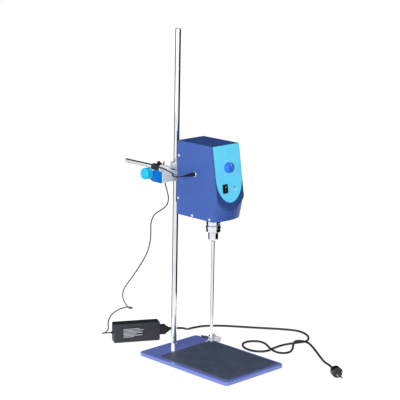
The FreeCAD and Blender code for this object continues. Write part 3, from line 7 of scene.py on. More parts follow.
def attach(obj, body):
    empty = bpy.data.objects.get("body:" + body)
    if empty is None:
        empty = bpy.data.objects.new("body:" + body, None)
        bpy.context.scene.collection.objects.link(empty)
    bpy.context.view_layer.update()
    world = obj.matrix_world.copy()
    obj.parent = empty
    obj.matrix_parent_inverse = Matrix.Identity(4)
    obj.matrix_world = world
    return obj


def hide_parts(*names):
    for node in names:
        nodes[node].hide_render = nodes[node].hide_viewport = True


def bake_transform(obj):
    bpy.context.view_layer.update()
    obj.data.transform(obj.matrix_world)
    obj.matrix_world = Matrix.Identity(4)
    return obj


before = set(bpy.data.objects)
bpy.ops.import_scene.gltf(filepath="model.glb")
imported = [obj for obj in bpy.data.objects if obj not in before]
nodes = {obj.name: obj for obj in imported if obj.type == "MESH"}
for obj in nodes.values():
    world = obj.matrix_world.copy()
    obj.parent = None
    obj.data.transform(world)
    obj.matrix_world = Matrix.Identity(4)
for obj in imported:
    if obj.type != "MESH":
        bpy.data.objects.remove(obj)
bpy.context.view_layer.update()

bpy.ops.object.select_all(action="DESELECT")


# Camera
# A long lens at bench height, turned to the stirrer's left front corner.

camera_azimuth = math.radians(-45.25)
camera_elevation = math.radians(12.9)
camera_roll = math.radians(1.07)
camera_distance = 3.36205
camera_target = Vector((-0.04714, 0.0, 0.41038))
lens_per_frame = 1432.4 / 400
sensor_width = 36.0

camera_back = Vector((math.sin(camera_azimuth) * math.cos(camera_elevation),
                      -math.cos(camera_azimuth) * math.cos(camera_elevation),
                      math.sin(camera_elevation)))
camera_right = Vector((math.cos(camera_azimuth), math.sin(camera_azimuth), 0))
camera_up = camera_back.cross(camera_right)
turned_right = camera_right * math.cos(camera_roll) + camera_up * math.sin(camera_roll)
turned_up = camera_up * math.cos(camera_roll) - camera_right * math.sin(camera_roll)
camera_place = Matrix((turned_right, turned_up, camera_back)).transposed().to_4x4()
camera_place.translation = camera_target + camera_back * camera_distance

bpy.ops.object.camera_add()
camera = bpy.context.object
camera.matrix_world = camera_place
camera.data.sensor_width = sensor_width
camera.data.lens = sensor_width * lens_per_frame
camera.data.clip_end = 30.0
bpy.context.scene.camera = camera
bpy.context.scene.view_settings.view_transform = "Standard"


# Light
# A white studio tent: even pale surroundings, with one large soft lamp on the left and one beside the camera.
# Dark flags stand round it, for the dark edges that plated rods show in such a tent.

def area_lamp(name, place, aim, size, power):
    bpy.ops.object.light_add(type="AREA", location=place)
    lamp = bpy.context.object
    lamp.name = name
    lamp.data.size = size
    lamp.data.energy = power
    lamp.rotation_euler = (Vector(aim) - Vector(place)).to_track_quat("-Z", "Y").to_euler()
    return lamp


lamp_aim = (-0.02, 0.0, 0.30)
area_lamp("tent_lamp_left", (-3.4, -0.5, 0.9), lamp_aim, size=1.8, power=48.0)
area_lamp("tent_lamp_camera", (-2.1, -2.7, 1.1), lamp_aim, size=1.4, power=46.0)

ambient_level = 0.40
# Each flag: its side, the direction it stands in, the angles where it begins and is full, and its level.
dark_flags = (
    ("right", (0.682, -0.731, 0.0), 48, 40, 0.0),
    ("left", (-0.09, 0.996, 0.0), 40, 32, 0.0),
    ("behind", (0.38, 0.70, 0.60), 50, 42, 0.0),
    ("below", (0.25, 0.69, -0.68), 30, 20, 0.35),
)

world = bpy.data.worlds.new("tent")
bpy.context.scene.world = world
world.use_nodes = True
tree = world.node_tree
tree.nodes.clear()
output = tree.nodes.new("ShaderNodeOutputWorld")
mix = tree.nodes.new("ShaderNodeMixShader")
pale = tree.nodes.new("ShaderNodeBackground")
soft = tree.nodes.new("ShaderNodeBackground")
path = tree.nodes.new("ShaderNodeLightPath")
pale.inputs["Color"].default_value = (1.0, 1.0, 1.0, 1.0)
soft.inputs["Color"].default_value = (1.0, 1.0, 1.0, 1.0)
soft.inputs["Strength"].default_value = ambient_level


def combined(tree, operation, first, second):
    """One value from two, by a maths node."""
    node = tree.nodes.new("ShaderNodeMath")
    node.operation = operation
    for socket, value in zip(node.inputs, (first, second)):
        if isinstance(value, float):
            socket.default_value = value
        else:
            tree.links.new(value, socket)
    return node.outputs[0]


direction = tree.nodes.new("ShaderNodeTexCoord")
level = path.outputs["Is Glossy Ray"]
for side, towards, outer_angle, inner_angle, flag_level in dark_flags:
    facing = tree.nodes.new("ShaderNodeVectorMath")
    facing.label = side
    facing.operation = "DOT_PRODUCT"
    facing.inputs[1].default_value = towards
    tree.links.new(direction.outputs["Generated"], facing.inputs[0])
    ramp = tree.nodes.new("ShaderNodeMapRange")
    ramp.inputs["From Min"].default_value = math.cos(math.radians(outer_angle))
    ramp.inputs["From Max"].default_value = math.cos(math.radians(inner_angle))
    ramp.inputs["To Min"].default_value = 1.0
    ramp.inputs["To Max"].default_value = flag_level
    tree.links.new(facing.outputs["Value"], ramp.inputs["Value"])
    level = combined(tree, "MINIMUM", level, ramp.outputs[0])
seen = combined(tree, "MAXIMUM", path.outputs["Is Camera Ray"], path.outputs["Is Transmission Ray"])
tree.links.new(combined(tree, "MAXIMUM", level, seen), pale.inputs["Strength"])
tree.links.new(combined(tree, "MAXIMUM", seen, path.outputs["Is Glossy Ray"]), mix.inputs["Fac"])
tree.links.new(soft.outputs[0], mix.inputs[1])
tree.links.new(pale.outputs[0], mix.inputs[2])
tree.links.new(mix.outputs[0], output.inputs["Surface"])


# Floor
# A plain white sheet under the stirrer, which only takes its soft shadow. In reflections it ends near the
# stand.

floor_half = 6.0
floor_drop = 0.0004
paper_level = 0.55
paper_glow = 0.82
mirrored_floor_reach = 0.38
bpy.ops.mesh.primitive_plane_add(size=2 * floor_half, location=(0, 0, -floor_drop))
floor = bpy.context.object
floor.name = "floor"
paper = bpy.data.materials.new("paper_floor")
paper.use_nodes = True
tree = paper.node_tree
tree.nodes.clear()
output = tree.nodes.new("ShaderNodeOutputMaterial")
matt = tree.nodes.new("ShaderNodeBsdfDiffuse")
matt.inputs["Color"].default_value = (paper_level, paper_level, paper_level, 1.0)
glow = tree.nodes.new("ShaderNodeEmission")
glow.inputs["Strength"].default_value = paper_glow
both = tree.nodes.new("ShaderNodeAddShader")
path = tree.nodes.new("ShaderNodeLightPath")
seen = combined(tree, "MAXIMUM", path.outputs["Is Camera Ray"], path.outputs["Is Glossy Ray"])
place = tree.nodes.new("ShaderNodeNewGeometry")
distance = tree.nodes.new("ShaderNodeVectorMath")
distance.operation = "LENGTH"
tree.links.new(place.outputs["Position"], distance.inputs[0])
beyond = combined(tree, "GREATER_THAN", distance.outputs["Value"], mirrored_floor_reach)
hidden = combined(tree, "MULTIPLY", beyond, path.outputs["Is Glossy Ray"])
clear = tree.nodes.new("ShaderNodeBsdfTransparent")
shown = tree.nodes.new("ShaderNodeMixShader")
parted = tree.nodes.new("ShaderNodeMixShader")
tree.links.new(matt.outputs[0], both.inputs[0])
tree.links.new(glow.outputs[0], both.inputs[1])
tree.links.new(seen, shown.inputs["Fac"])
tree.links.new(matt.outputs[0], shown.inputs[1])
tree.links.new(both.outputs[0], shown.inputs[2])
tree.links.new(hidden, parted.inputs["Fac"])
tree.links.new(shown.outputs[0], parted.inputs[1])
tree.links.new(clear.outputs[0], parted.inputs[2])
tree.links.new(parted.outputs[0], output.inputs["Surface"])
floor.data.materials.append(paper)


# Low-voltage lead from the head's plug
# Round black two-core lead, 3 mm. It turns back along the head's side and over the clamp to the arm.

def colour(red, green, blue):
    """A screen colour, 0 to 255, as the linear values that a shader takes."""
    def linear(value):
        value = value / 255
        return value / 12.92 if value <= 0.04045 else ((value + 0.055) / 1.055) ** 2.4
    return (linear(red), linear(green), linear(blue), 1.0)


def new_material(name, base, metallic, roughness):
    material = bpy.data.materials.new(name)
    material.use_nodes = True
    shader = material.node_tree.nodes["Principled BSDF"]
    shader.inputs["Base Color"].default_value = base
    shader.inputs["Metallic"].default_value = metallic
    shader.inputs["Roughness"].default_value = roughness
    return material, material.node_tree, shader


def grain(tree, scale, stretch=(1.0, 1.0, 1.0), detail=3.0):
    """Noise on the piece's own coordinates, in metres, stretched where the real grain has a direction."""
    place = tree.nodes.new("ShaderNodeTexCoord")
    mapping = tree.nodes.new("ShaderNodeMapping")
    mapping.inputs["Scale"].default_value = stretch
    noise = tree.nodes.new("ShaderNodeTexNoise")
    noise.inputs["Scale"].default_value = scale
    noise.inputs["Detail"].default_value = detail
    tree.links.new(place.outputs["Object"], mapping.inputs["Vector"])
    tree.links.new(mapping.outputs["Vector"], noise.inputs["Vector"])
    return noise.outputs["Fac"]


def spread(tree, source, low, high, start=0.35, end=0.65):
    """Turns grain into a value between low and high."""
    ramp = tree.nodes.new("ShaderNodeMapRange")
    ramp.inputs["From Min"].default_value = start
    ramp.inputs["From Max"].default_value = end
    ramp.inputs["To Min"].default_value = low
    ramp.inputs["To Max"].default_value = high
    tree.links.new(source, ramp.inputs["Value"])
    return ramp.outputs[0]


def relief(tree, shader, source, depth, strength=0.4):
    """Raises the surface by the source, with the depth in metres."""
    bump = tree.nodes.new("ShaderNodeBump")
    bump.inputs["Strength"].default_value = strength
    bump.inputs["Distance"].default_value = depth
    tree.links.new(source, bump.inputs["Height"])
    tree.links.new(bump.outputs["Normal"], shader.inputs["Normal"])


def tint(tree, shader, source, first, second):
    """Blends two colours by the source, as the base colour."""
    blend = tree.nodes.new("ShaderNodeMix")
    blend.data_type = "RGBA"
    blend.inputs["A"].default_value = first
    blend.inputs["B"].default_value = second
    tree.links.new(source, blend.inputs["Factor"])
    tree.links.new(blend.outputs["Result"], shader.inputs["Base Color"])


def dress(node, material):
    """Gives a carried-over piece its finish."""
    nodes[node].data.materials.clear()
    nodes[node].data.materials.append(material)


cable_skin, tree, shader = new_material("cable_skin", colour(22, 22, 25), 0.0, 0.45)
tint(tree, shader, spread(tree, grain(tree, 90.0), 0.0, 1.0), colour(18, 18, 21), colour(34, 34, 38))
tree.links.new(spread(tree, grain(tree, 240.0), 0.38, 0.55), shader.inputs["Roughness"])
relief(tree, shader, grain(tree, 700.0), 0.0001)


def route_curve(name, points, thickness, material):
    """A smooth cord: a NURBS line with the route's points as its control points."""
    curve = bpy.data.curves.new(name, "CURVE")
    curve.dimensions = "3D"
    curve.resolution_u = 10
    curve.render_resolution_u = 10
    curve.bevel_depth = thickness / 2
    curve.bevel_resolution = 4
    curve.use_fill_caps = True
    spline = curve.splines.new("NURBS")
    spline.points.add(len(points) - 1)
    for spot, point in zip(spline.points, points):
        spot.co = (*point, 1.0)
    spline.order_u = 3
    spline.use_endpoint_u = True
    curve.materials.append(material)
    piece = bpy.data.objects.new(name, curve)
    bpy.context.collection.objects.link(piece)
    return piece


def centre_line(piece):
    """The points that the smooth line passes through."""
    thickness = piece.data.bevel_depth
    piece.data.bevel_depth = 0.0
    bpy.context.view_layer.update()
    line = bpy.data.meshes.new_from_object(piece.evaluated_get(bpy.context.evaluated_depsgraph_get()))
    points = [tuple(v.co) for v in line.vertices]
    bpy.data.meshes.remove(line)
    piece.data.bevel_depth = thickness
    bpy.context.view_layer.update()
    return points


def as_mesh(piece):
    """The cord as a mesh."""
    bpy.ops.object.select_all(action="DESELECT")
    piece.select_set(True)
    bpy.context.view_layer.objects.active = piece
    bpy.ops.object.convert(target="MESH")
    bpy.ops.object.shade_smooth()
    return bpy.context.object


lead_thickness = 0.003
rest_clearance = 0.0002
lead_rest = lead_thickness / 2 + rest_clearance
head_x = -0.015
head_half_width = 0.0444
arm_x = -0.044
arm_z = 0.465
arm_radius = 0.005
jack_y = 0.007
jack_z = 0.4728
plug_reach = 0.036
plug_end = (head_x - head_half_width - plug_reach, jack_y, jack_z)
coil_play = 0.0003
coil_radius = arm_radius + lead_thickness / 2 + coil_play
coil_start_y = 0.136
coil_length = 0.027
coil_end_y = coil_start_y + coil_length
coil_approach = (arm_x - 0.0116, coil_start_y - 0.005, arm_z + 0.004)
coil_entry = (arm_x - 0.0078, coil_start_y + 0.0065, arm_z + 0.0036)

head_lead_route = [
    plug_end, (-0.105, jack_y, jack_z), (-0.1125, 0.0145, 0.4725), (-0.1105, 0.026, 0.472),
    (-0.101, 0.037, 0.472), (-0.0885, 0.051, 0.4708), (-0.078, 0.068, 0.4698), (-0.070, 0.086, 0.4692),
    (-0.063, 0.103, 0.4692), (-0.0575, 0.118, 0.4694), coil_approach, coil_entry,
]
lead_to_head = route_curve("lead_to_head_skin", head_lead_route, lead_thickness, cable_skin)
line = centre_line(lead_to_head)
lead_to_head = as_mesh(lead_to_head)
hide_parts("lead_to_head")
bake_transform(lead_to_head)


# Turns of the lead tied round the arm
# The spare lead is wound on the bar in close turns, and a plastic tie holds them.

coil_exit = (arm_x, coil_end_y + lead_thickness / 2, arm_z - coil_radius)
outer_turn_radius = coil_radius + 0.0027
points_per_turn = 16
waver = 0.0003
waver_rate = 2.3
# Each stage: its number of turns, and the radius and the place along the arm that it ends at.
turn_stages = (
    (0.55, outer_turn_radius + 0.0008, coil_start_y + 0.0118),
    (3.40, outer_turn_radius, coil_start_y + 0.0018),
    (0.40, coil_radius, coil_start_y + 0.0016),
    (7.969, coil_radius, coil_end_y + lead_thickness / 2),
)
coil_points = [coil_entry]
angle = math.atan2(coil_entry[2] - arm_z, coil_entry[0] - arm_x)
radius = math.hypot(coil_entry[2] - arm_z, coil_entry[0] - arm_x)
advance = coil_entry[1]
for turns, stage_radius, stage_y in turn_stages:
    count = round(turns * points_per_turn)
    for step in range(1, count + 1):
        share = step / count
        spot_angle = angle + 2 * math.pi * turns * share
        spot_radius = radius + (stage_radius - radius) * share
        spot_waver = waver * math.sin(waver_rate * spot_angle) * (1 - share)
        spot_y = advance + (stage_y - advance) * share + spot_waver
        coil_points.append((arm_x + spot_radius * math.cos(spot_angle), spot_y,
                            arm_z + spot_radius * math.sin(spot_angle)))
    angle += 2 * math.pi * turns
    radius = stage_radius
    advance = stage_y
lead_coil = route_curve("lead_coil_skin", coil_points, lead_thickness, cable_skin)
line = centre_line(lead_coil)
lead_coil = as_mesh(lead_coil)
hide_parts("lead_coil")
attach(lead_coil, "arm")


# Low-voltage lead from the coil to the adaptor
# It hangs in a loose kink beside the rod, reaches the bench behind the stand and comes back to the adaptor.

adaptor_angle = math.radians(-29.4)
adaptor_left = Vector((-0.084, 0.258, 0.0))
adaptor_thickness = 0.030
adaptor_height = 0.049
adaptor_length = 0.119
adaptor_along = Vector((math.cos(adaptor_angle), math.sin(adaptor_angle), 0))
adaptor_behind = Vector((-adaptor_along.y, adaptor_along.x, 0))


def by_adaptor(along, up):
    """A point along the adaptor from its left end, on its middle plane."""
    middle = adaptor_left + adaptor_behind * (adaptor_thickness / 2)
    return tuple(middle + adaptor_along * along + Vector((0, 0, up)))


relief_reach = 0.0055
straight_run = 0.012
relief_end = by_adaptor(-relief_reach, adaptor_height / 2)
relief_approach = by_adaptor(-relief_reach - straight_run, adaptor_height / 2)
drop_lead_route = [
    coil_exit, (-0.035, coil_exit[1], 0.4579), (-0.0235, 0.166, 0.4515), (-0.011, 0.1675, 0.4385),
    (-0.0015, 0.1685, 0.4215), (0.005, 0.168, 0.401),
    (0.0105, 0.1655, 0.380), (0.007, 0.1655, 0.3615), (-0.010, 0.167, 0.3515), (-0.031, 0.171, 0.344),
    (-0.0395, 0.176, 0.324), (-0.0335, 0.1815, 0.299), (-0.0265, 0.190, 0.271), (-0.0225, 0.203, 0.241),
    (-0.0235, 0.221, 0.211), (-0.019, 0.243, 0.187), (-0.008, 0.271, 0.161), (0.005, 0.309, 0.129),
    (0.023, 0.345, 0.098), (0.049, 0.375, 0.068), (0.083, 0.403, 0.039), (0.116, 0.427, 0.015),
    (0.136, 0.439, 0.004), (0.151, 0.446, lead_rest), (0.151, 0.459, lead_rest), (0.139, 0.465, lead_rest),
    (0.122, 0.4635, lead_rest), (0.101, 0.457, lead_rest), (0.074, 0.4435, lead_rest),
    (0.044, 0.421, lead_rest), (0.015, 0.394, lead_rest), (-0.008, 0.366, lead_rest), (-0.027, 0.346, 0.0025),
    (-0.046, 0.332, 0.0043), (-0.066, 0.319, 0.0085), (-0.083, 0.305, 0.0145), (-0.092, 0.292, 0.0215),
    relief_approach, relief_end,
]
coil_stretch_end = 3
hang_stretch_end = 15


def midway(first, second):
    return tuple((Vector(first) + Vector(second)) / 2)


coil_cut = midway(drop_lead_route[coil_stretch_end], drop_lead_route[coil_stretch_end + 1])
hang_cut = midway(drop_lead_route[hang_stretch_end], drop_lead_route[hang_stretch_end + 1])
stretches = (
    ("lead_from_coil", drop_lead_route[:coil_stretch_end + 1] + [coil_cut], "arm", "clamp", "hanging",
     (0, coil_end_y, 0.457), (0, coil_end_y, 0.430)),
    ("lead_hang", [coil_cut] + drop_lead_route[coil_stretch_end + 1:hang_stretch_end + 1] + [hang_cut],
     "clamp", "mast", "hanging", (0, 0, coil_cut[2] - 0.02), (0, 0, hang_cut[2] + 0.02)),
    ("lead_foot", [hang_cut] + drop_lead_route[hang_stretch_end + 1:], "mast", "stand", "loose",
     (0, 0, hang_cut[2]), (0, 0, 0.012)),
)
for name, route, upper, lower, lay, start, end in stretches:
    piece = route_curve(name + "_skin", route, lead_thickness, cable_skin)
    line = centre_line(piece)
    piece = as_mesh(piece)
    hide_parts(name)
    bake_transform(piece)


# Mains lead
# Round black three-core lead, 5.6 mm. It comes round behind the stand and lies in loose bends on the bench
# beside it, twice across itself, and ends in a moulded plug.

mains_thickness = 0.0056
mains_rest = mains_thickness / 2 + rest_clearance
plug_radius = 0.013
connector_body_length = 0.017
connector_taper_length = 0.009
connector_relief_length = 0.011
connector_reach = connector_body_length + connector_taper_length + connector_relief_length
connector_end = by_adaptor(adaptor_length + connector_reach, adaptor_height / 2)
connector_exit = by_adaptor(adaptor_length + connector_reach + straight_run, adaptor_height / 2)
mains_route = [
    connector_end, connector_exit, (0.086, 0.1865, 0.0215), (0.104, 0.193, 0.014), (0.123, 0.204, 0.006),
    (0.148, 0.211, mains_rest), (0.181, 0.203, mains_rest), (0.217, 0.173, mains_rest),
    (0.247, 0.133, mains_rest), (0.281, 0.088, mains_rest), (0.315, 0.045, mains_rest),
    (0.337, 0.006, mains_rest), (0.323, -0.036, mains_rest), (0.288, -0.065, 0.004), (0.250, -0.067, 0.0092),
    (0.217, -0.043, 0.005), (0.182, -0.041, mains_rest), (0.148, -0.047, mains_rest),
    (0.125, -0.020, mains_rest), (0.131, 0.019, mains_rest), (0.163, 0.043, mains_rest),
    (0.191, 0.023, 0.0045), (0.182, -0.014, 0.0092), (0.163, -0.044, 0.0088), (0.158, -0.076, 0.0045),
    (0.184, -0.092, mains_rest), (0.214, -0.078, mains_rest), (0.243, -0.053, mains_rest),
    (0.270, -0.038, mains_rest), (0.284, -0.064, mains_rest), (0.265, -0.098, mains_rest),
    (0.238, -0.136, mains_rest), (0.209, -0.176, 0.0035), (0.184, -0.208, 0.008),
    (0.169, -0.231, plug_radius), (0.159, -0.249, plug_radius),
]
mains_lead = route_curve("mains_lead_skin", mains_route, mains_thickness, cable_skin)
line = centre_line(mains_lead)
mains_lead = as_mesh(mains_lead)
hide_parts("mains_lead")
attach(mains_lead, "stand")


# Stand plate
# Pressed steel plate with a gloss blue-violet stove enamel, which has a faint orange peel and small scuffs.

plate_enamel, tree, shader = new_material("plate_enamel", colour(130, 146, 234), 0.0, 0.2)
scuffs = spread(tree, grain(tree, 14.0, detail=8.0), 0.0, 1.0, start=0.52, end=0.72)
tint(tree, shader, scuffs, colour(128, 144, 233), colour(142, 156, 238))
tree.links.new(spread(tree, grain(tree, 60.0, detail=6.0), 0.14, 0.26), shader.inputs["Roughness"])
shader.inputs["Coat Weight"].default_value = 0.3
shader.inputs["Coat Roughness"].default_value = 0.06
relief(tree, shader, grain(tree, 420.0, detail=2.0), 0.00008, strength=0.25)
dress("base_plate", plate_enamel)


# Rubber sheet under the plate
# Black rubber, 1.5 mm, glued on so that the stand doesn't slide.

sheet_rubber, tree, shader = new_material("sheet_rubber", colour(30, 30, 33), 0.0, 0.8)
tint(tree, shader, spread(tree, grain(tree, 300.0), 0.0, 1.0), colour(26, 26, 29), colour(38, 38, 42))
relief(tree, shader, grain(tree, 1200.0), 0.00012)
dress("base_pad", sheet_rubber)


# Mat
# Slate-grey nitrile rubber, let onto the plate's top, with a fine matt grain and a soft sheen.

mat_rubber, tree, shader = new_material("mat_rubber", colour(76, 89, 111), 0.0, 0.55)
tint(tree, shader, spread(tree, grain(tree, 45.0, detail=8.0), 0.0, 1.0), colour(70, 83, 104),
     colour(82, 95, 118))
tree.links.new(spread(tree, grain(tree, 260.0), 0.48, 0.64), shader.inputs["Roughness"])
relief(tree, shader, grain(tree, 1500.0, detail=2.0), 0.0001, strength=0.35)
dress("plate_mat", mat_rubber)


# Plated bars
# The rod and the arm are drawn steel with bright chrome plating: faint lines along the bar, a few dull spots.

def plated(name, stretch, dull=0.16):
    """Bright plating whose drawing lines run along the bar."""
    material, tree, shader = new_material(name, colour(234, 237, 241), 1.0, 0.1)
    tint(tree, shader, spread(tree, grain(tree, 35.0, detail=6.0), 0.0, 1.0), colour(228, 232, 237),
         colour(240, 242, 245))
    lines = grain(tree, 260.0, stretch, detail=5.0)
    tree.links.new(spread(tree, lines, 0.05, dull), shader.inputs["Roughness"])
    relief(tree, shader, grain(tree, 900.0, stretch), 0.00002, strength=0.15)
    return material


upright_plating = plated("upright_plating", (1.0, 1.0, 0.02))
level_plating = plated("level_plating", (1.0, 0.02, 1.0))
dress("stand_rod", upright_plating)
dress("arm_bar", level_plating)
dress("rod_collar", plated("collar_plating", (1.0, 1.0, 1.0), dull=0.22))


# Small steel pieces
# Zinc-plated and bright screws, rings and posts, turned or cold-headed, with fine turning marks.

def turned_steel(name, base, low, high):
    material, tree, shader = new_material(name, base, 1.0, low)
    tree.links.new(spread(tree, grain(tree, 500.0, (1.0, 1.0, 4.0)), low, high), shader.inputs["Roughness"])
    relief(tree, shader, grain(tree, 1500.0, (0.3, 0.3, 6.0)), 0.00003, strength=0.3)
    return material


zinc = turned_steel("zinc_plating", colour(176, 178, 182), 0.25, 0.45)
bright_steel = turned_steel("bright_steel", colour(214, 216, 220), 0.12, 0.28)
for node in ("rod_screw", "arm_screw", "rod_clamp_screw", "arm_circlip", "speed_control", "motor_plate",
             "plate_posts"):
    dress(node, zinc)
for node in ("flange_screws", "control_shaft", "spindle_bearings", "spindle", "motor_pinion", "drive_screws",
             "power_jack"):
    dress(node, bright_steel)
pale_zinc, tree, shader = new_material("pale_zinc", colour(240, 243, 248), 0.2, 0.5)
tint(tree, shader, spread(tree, grain(tree, 600.0), 0.0, 1.0), colour(232, 236, 244), colour(248, 250, 252))
dress("case_screws", pale_zinc)


# Cross clamp block
# Die-cast alloy, bead-blasted and lacquered, so it is pale, with a fine grain.

cast_alloy, tree, shader = new_material("cast_alloy", colour(246, 250, 255), 0.0, 0.4)
tint(tree, shader, spread(tree, grain(tree, 60.0, detail=7.0), 0.0, 1.0), colour(242, 248, 255),
     colour(250, 253, 255))
tree.links.new(spread(tree, grain(tree, 220.0), 0.28, 0.42), shader.inputs["Roughness"])
relief(tree, shader, grain(tree, 1800.0, detail=2.0), 0.00006, strength=0.35)
for node in ("clamp_block", "arm_flange", "bearing_housing"):
    dress(node, cast_alloy)


# Clamp boss
# The block's left end is dipped in a strong blue gloss paint.

boss_paint, tree, shader = new_material("boss_paint", colour(6, 132, 245), 0.0, 0.45)
tint(tree, shader, spread(tree, grain(tree, 40.0, detail=5.0), 0.0, 1.0), colour(4, 126, 240),
     colour(12, 142, 250))
shader.inputs["Specular IOR Level"].default_value = 0.2
relief(tree, shader, grain(tree, 380.0, detail=2.0), 0.00004, strength=0.2)
dress("clamp_boss", boss_paint)


# Thumb knobs
# Moulded in a bright cyan plastic, slightly translucent, with grip grooves and a dished face.

knob_cyan, tree, shader = new_material("knob_cyan", colour(8, 205, 250), 0.0, 0.34)
tint(tree, shader, spread(tree, grain(tree, 70.0), 0.0, 1.0), colour(4, 200, 248), colour(12, 212, 252))
shader.inputs["Subsurface Weight"].default_value = 0.12
shader.inputs["Subsurface Radius"].default_value = (0.002, 0.003, 0.004)
tree.links.new(spread(tree, grain(tree, 300.0), 0.24, 0.36), shader.inputs["Roughness"])
relief(tree, shader, grain(tree, 1400.0), 0.00004, strength=0.25)
dress("arm_knob", knob_cyan)
dress("rod_knob", knob_cyan)


# Head cover and panels
# Folded sheet steel with a satin-gloss blue enamel.

head_enamel, tree, shader = new_material("head_enamel", colour(64, 100, 182), 0.0, 0.36)
tint(tree, shader, spread(tree, grain(tree, 9.0, detail=6.0), 0.0, 1.0), colour(62, 98, 179),
     colour(67, 103, 186))
tree.links.new(spread(tree, grain(tree, 120.0, detail=5.0), 0.32, 0.42), shader.inputs["Roughness"])
relief(tree, shader, grain(tree, 320.0, detail=1.0), 0.00003, strength=0.15)
for node in ("housing_cover", "back_panel", "bottom_plate"):
    dress(node, head_enamel)


# Fascia
# Moulded panel in a deeper blue with a fine spark-eroded grain, carrying a printed film in pale blue.

fascia_blue, tree, shader = new_material("fascia_blue", colour(48, 80, 152), 0.0, 0.38)
tint(tree, shader, spread(tree, grain(tree, 80.0), 0.0, 1.0), colour(46, 78, 149), colour(51, 83, 156))
relief(tree, shader, grain(tree, 1600.0), 0.00006, strength=0.3)
dress("fascia_panel", fascia_blue)

label_film, tree, shader = new_material("label_film", colour(110, 232, 255), 0.0, 0.4)
tint(tree, shader, spread(tree, grain(tree, 26.0, detail=5.0), 0.0, 1.0), colour(106, 229, 255),
     colour(116, 236, 255))
tree.links.new(spread(tree, grain(tree, 700.0), 0.34, 0.46), shader.inputs["Roughness"])
# The film glows faintly blue: painted light, which makes it brighter than the lamps alone would.
shader.inputs["Emission Color"].default_value = colour(60, 160, 255)
shader.inputs["Emission Strength"].default_value = 0.2
relief(tree, shader, grain(tree, 2200.0, detail=1.0), 0.00004, strength=0.3)
dress("label_sheet", label_film)


# Speed knob
# Blue moulded knob with a fluted grip; a white line is let into its face.

knob_plastic, tree, shader = new_material("knob_plastic", colour(48, 122, 240), 0.0, 0.34)
tint(tree, shader, spread(tree, grain(tree, 90.0), 0.0, 1.0), colour(44, 116, 235), colour(54, 130, 245))
tree.links.new(spread(tree, grain(tree, 420.0), 0.24, 0.38), shader.inputs["Roughness"])
relief(tree, shader, grain(tree, 1500.0), 0.00005, strength=0.25)
dress("speed_knob", knob_plastic)


# Black mouldings
# Switch, plugs and adaptor in black plastic, the adaptor's with a leathery grain.

def black_moulding(name, base, second, size, depth, low, high):
    material, tree, shader = new_material(name, base, 0.0, low)
    tint(tree, shader, spread(tree, grain(tree, size * 0.2), 0.0, 1.0), base, second)
    tree.links.new(spread(tree, grain(tree, size * 0.6), low, high), shader.inputs["Roughness"])
    relief(tree, shader, grain(tree, size, detail=4.0), depth, strength=0.5)
    return material


smooth_black = black_moulding("smooth_black", colour(26, 26, 30), colour(36, 36, 41),
                              size=900.0, depth=0.00004, low=0.25, high=0.4)
grained_black = black_moulding("grained_black", colour(32, 35, 43), colour(42, 45, 54),
                               size=520.0, depth=0.0002, low=0.42, high=0.6)
for node in ("switch_body", "switch_rocker", "power_plug", "coil_tie", "adaptor_inlet", "mains_connector",
             "mains_plug"):
    dress(node, smooth_black)
dress("adaptor_case", grained_black)
dress("adaptor_relief", cable_skin)


# Lamp
# Clear red plastic lens, dark while it is off.

lamp_red, tree, shader = new_material("lamp_red", colour(150, 16, 30), 0.0, 0.12)
shader.inputs["Transmission Weight"].default_value = 0.35
tree.links.new(spread(tree, grain(tree, 800.0), 0.08, 0.18), shader.inputs["Roughness"])
dress("power_lamp", lamp_red)


# Print on the fascia
# Screen-printed in white on the film: a scale with plain numbers round the speed knob, a dot at its start,
# and a plain bar under the lamp.

head_top_z = 0.5454
head_front_y = -0.0485
head_ridge_z = 0.4220
head_ridge_y = -0.0693
fascia_lean = math.atan2(head_front_y - head_ridge_y, head_top_z - head_ridge_z)
label_thickness = 0.0005
ink_thickness = 0.00002
drawing_rise = 0.004
fascia_place = (Matrix.Translation((head_x, head_front_y, head_top_z))
                @ Matrix.Rotation(math.pi / 2 - fascia_lean, 4, "X"))

print_white, tree, shader = new_material("print_white", colour(242, 248, 252), 0.0, 0.45)
tint(tree, shader, spread(tree, grain(tree, 1800.0), 0.0, 1.0), colour(236, 244, 250), colour(248, 252, 254))


def settle():
    """Applies the active piece's place, turn and size to its mesh."""
    bpy.ops.object.transform_apply(location=True, rotation=True, scale=True)


def bar_shape(width, height, across, up, turn=0.0):
    """A flat bar in the drawing plane, turned clockwise about the drawing's origin."""
    bpy.ops.mesh.primitive_plane_add(size=1, location=(across, up, 0))
    bar = bpy.context.object
    bar.scale = (width, height, 1)
    settle()
    bar.rotation_euler = (0, 0, -turn)
    settle()
    return bar


def arc_shape(radius, width, start, sweep, steps=72):
    """A flat arc about the drawing's origin, spun clockwise from a short line across its width."""
    bpy.ops.mesh.primitive_plane_add(size=1, location=(0, radius, 0))
    arc = bpy.context.object
    arc.scale = (0, width, 1)
    settle()
    same_place = width / 10
    bpy.ops.object.mode_set(mode="EDIT")
    bpy.ops.mesh.select_all(action="SELECT")
    bpy.ops.mesh.remove_doubles(threshold=same_place)
    bpy.ops.mesh.spin(steps=steps, angle=-sweep, center=(0, 0, 0), axis=(0, 0, 1))
    bpy.ops.mesh.select_all(action="SELECT")
    bpy.ops.mesh.remove_doubles(threshold=same_place)
    bpy.ops.object.mode_set(mode="OBJECT")
    arc.rotation_euler = (0, 0, -start)
    settle()
    return arc


def ring_shape(radius, width):
    return arc_shape(radius, width, 0, 2 * math.pi, steps=32)


def number_shape(number, size, across, up):
    """A plain number, centred on its place."""
    bpy.ops.object.text_add(location=(across, up, 0))
    figure = bpy.context.object
    figure.data.body = str(number)
    figure.data.size = size
    figure.data.align_x = "CENTER"
    figure.data.align_y = "CENTER"
    bpy.ops.object.convert(target="MESH")
    settle()
    return bpy.context.object


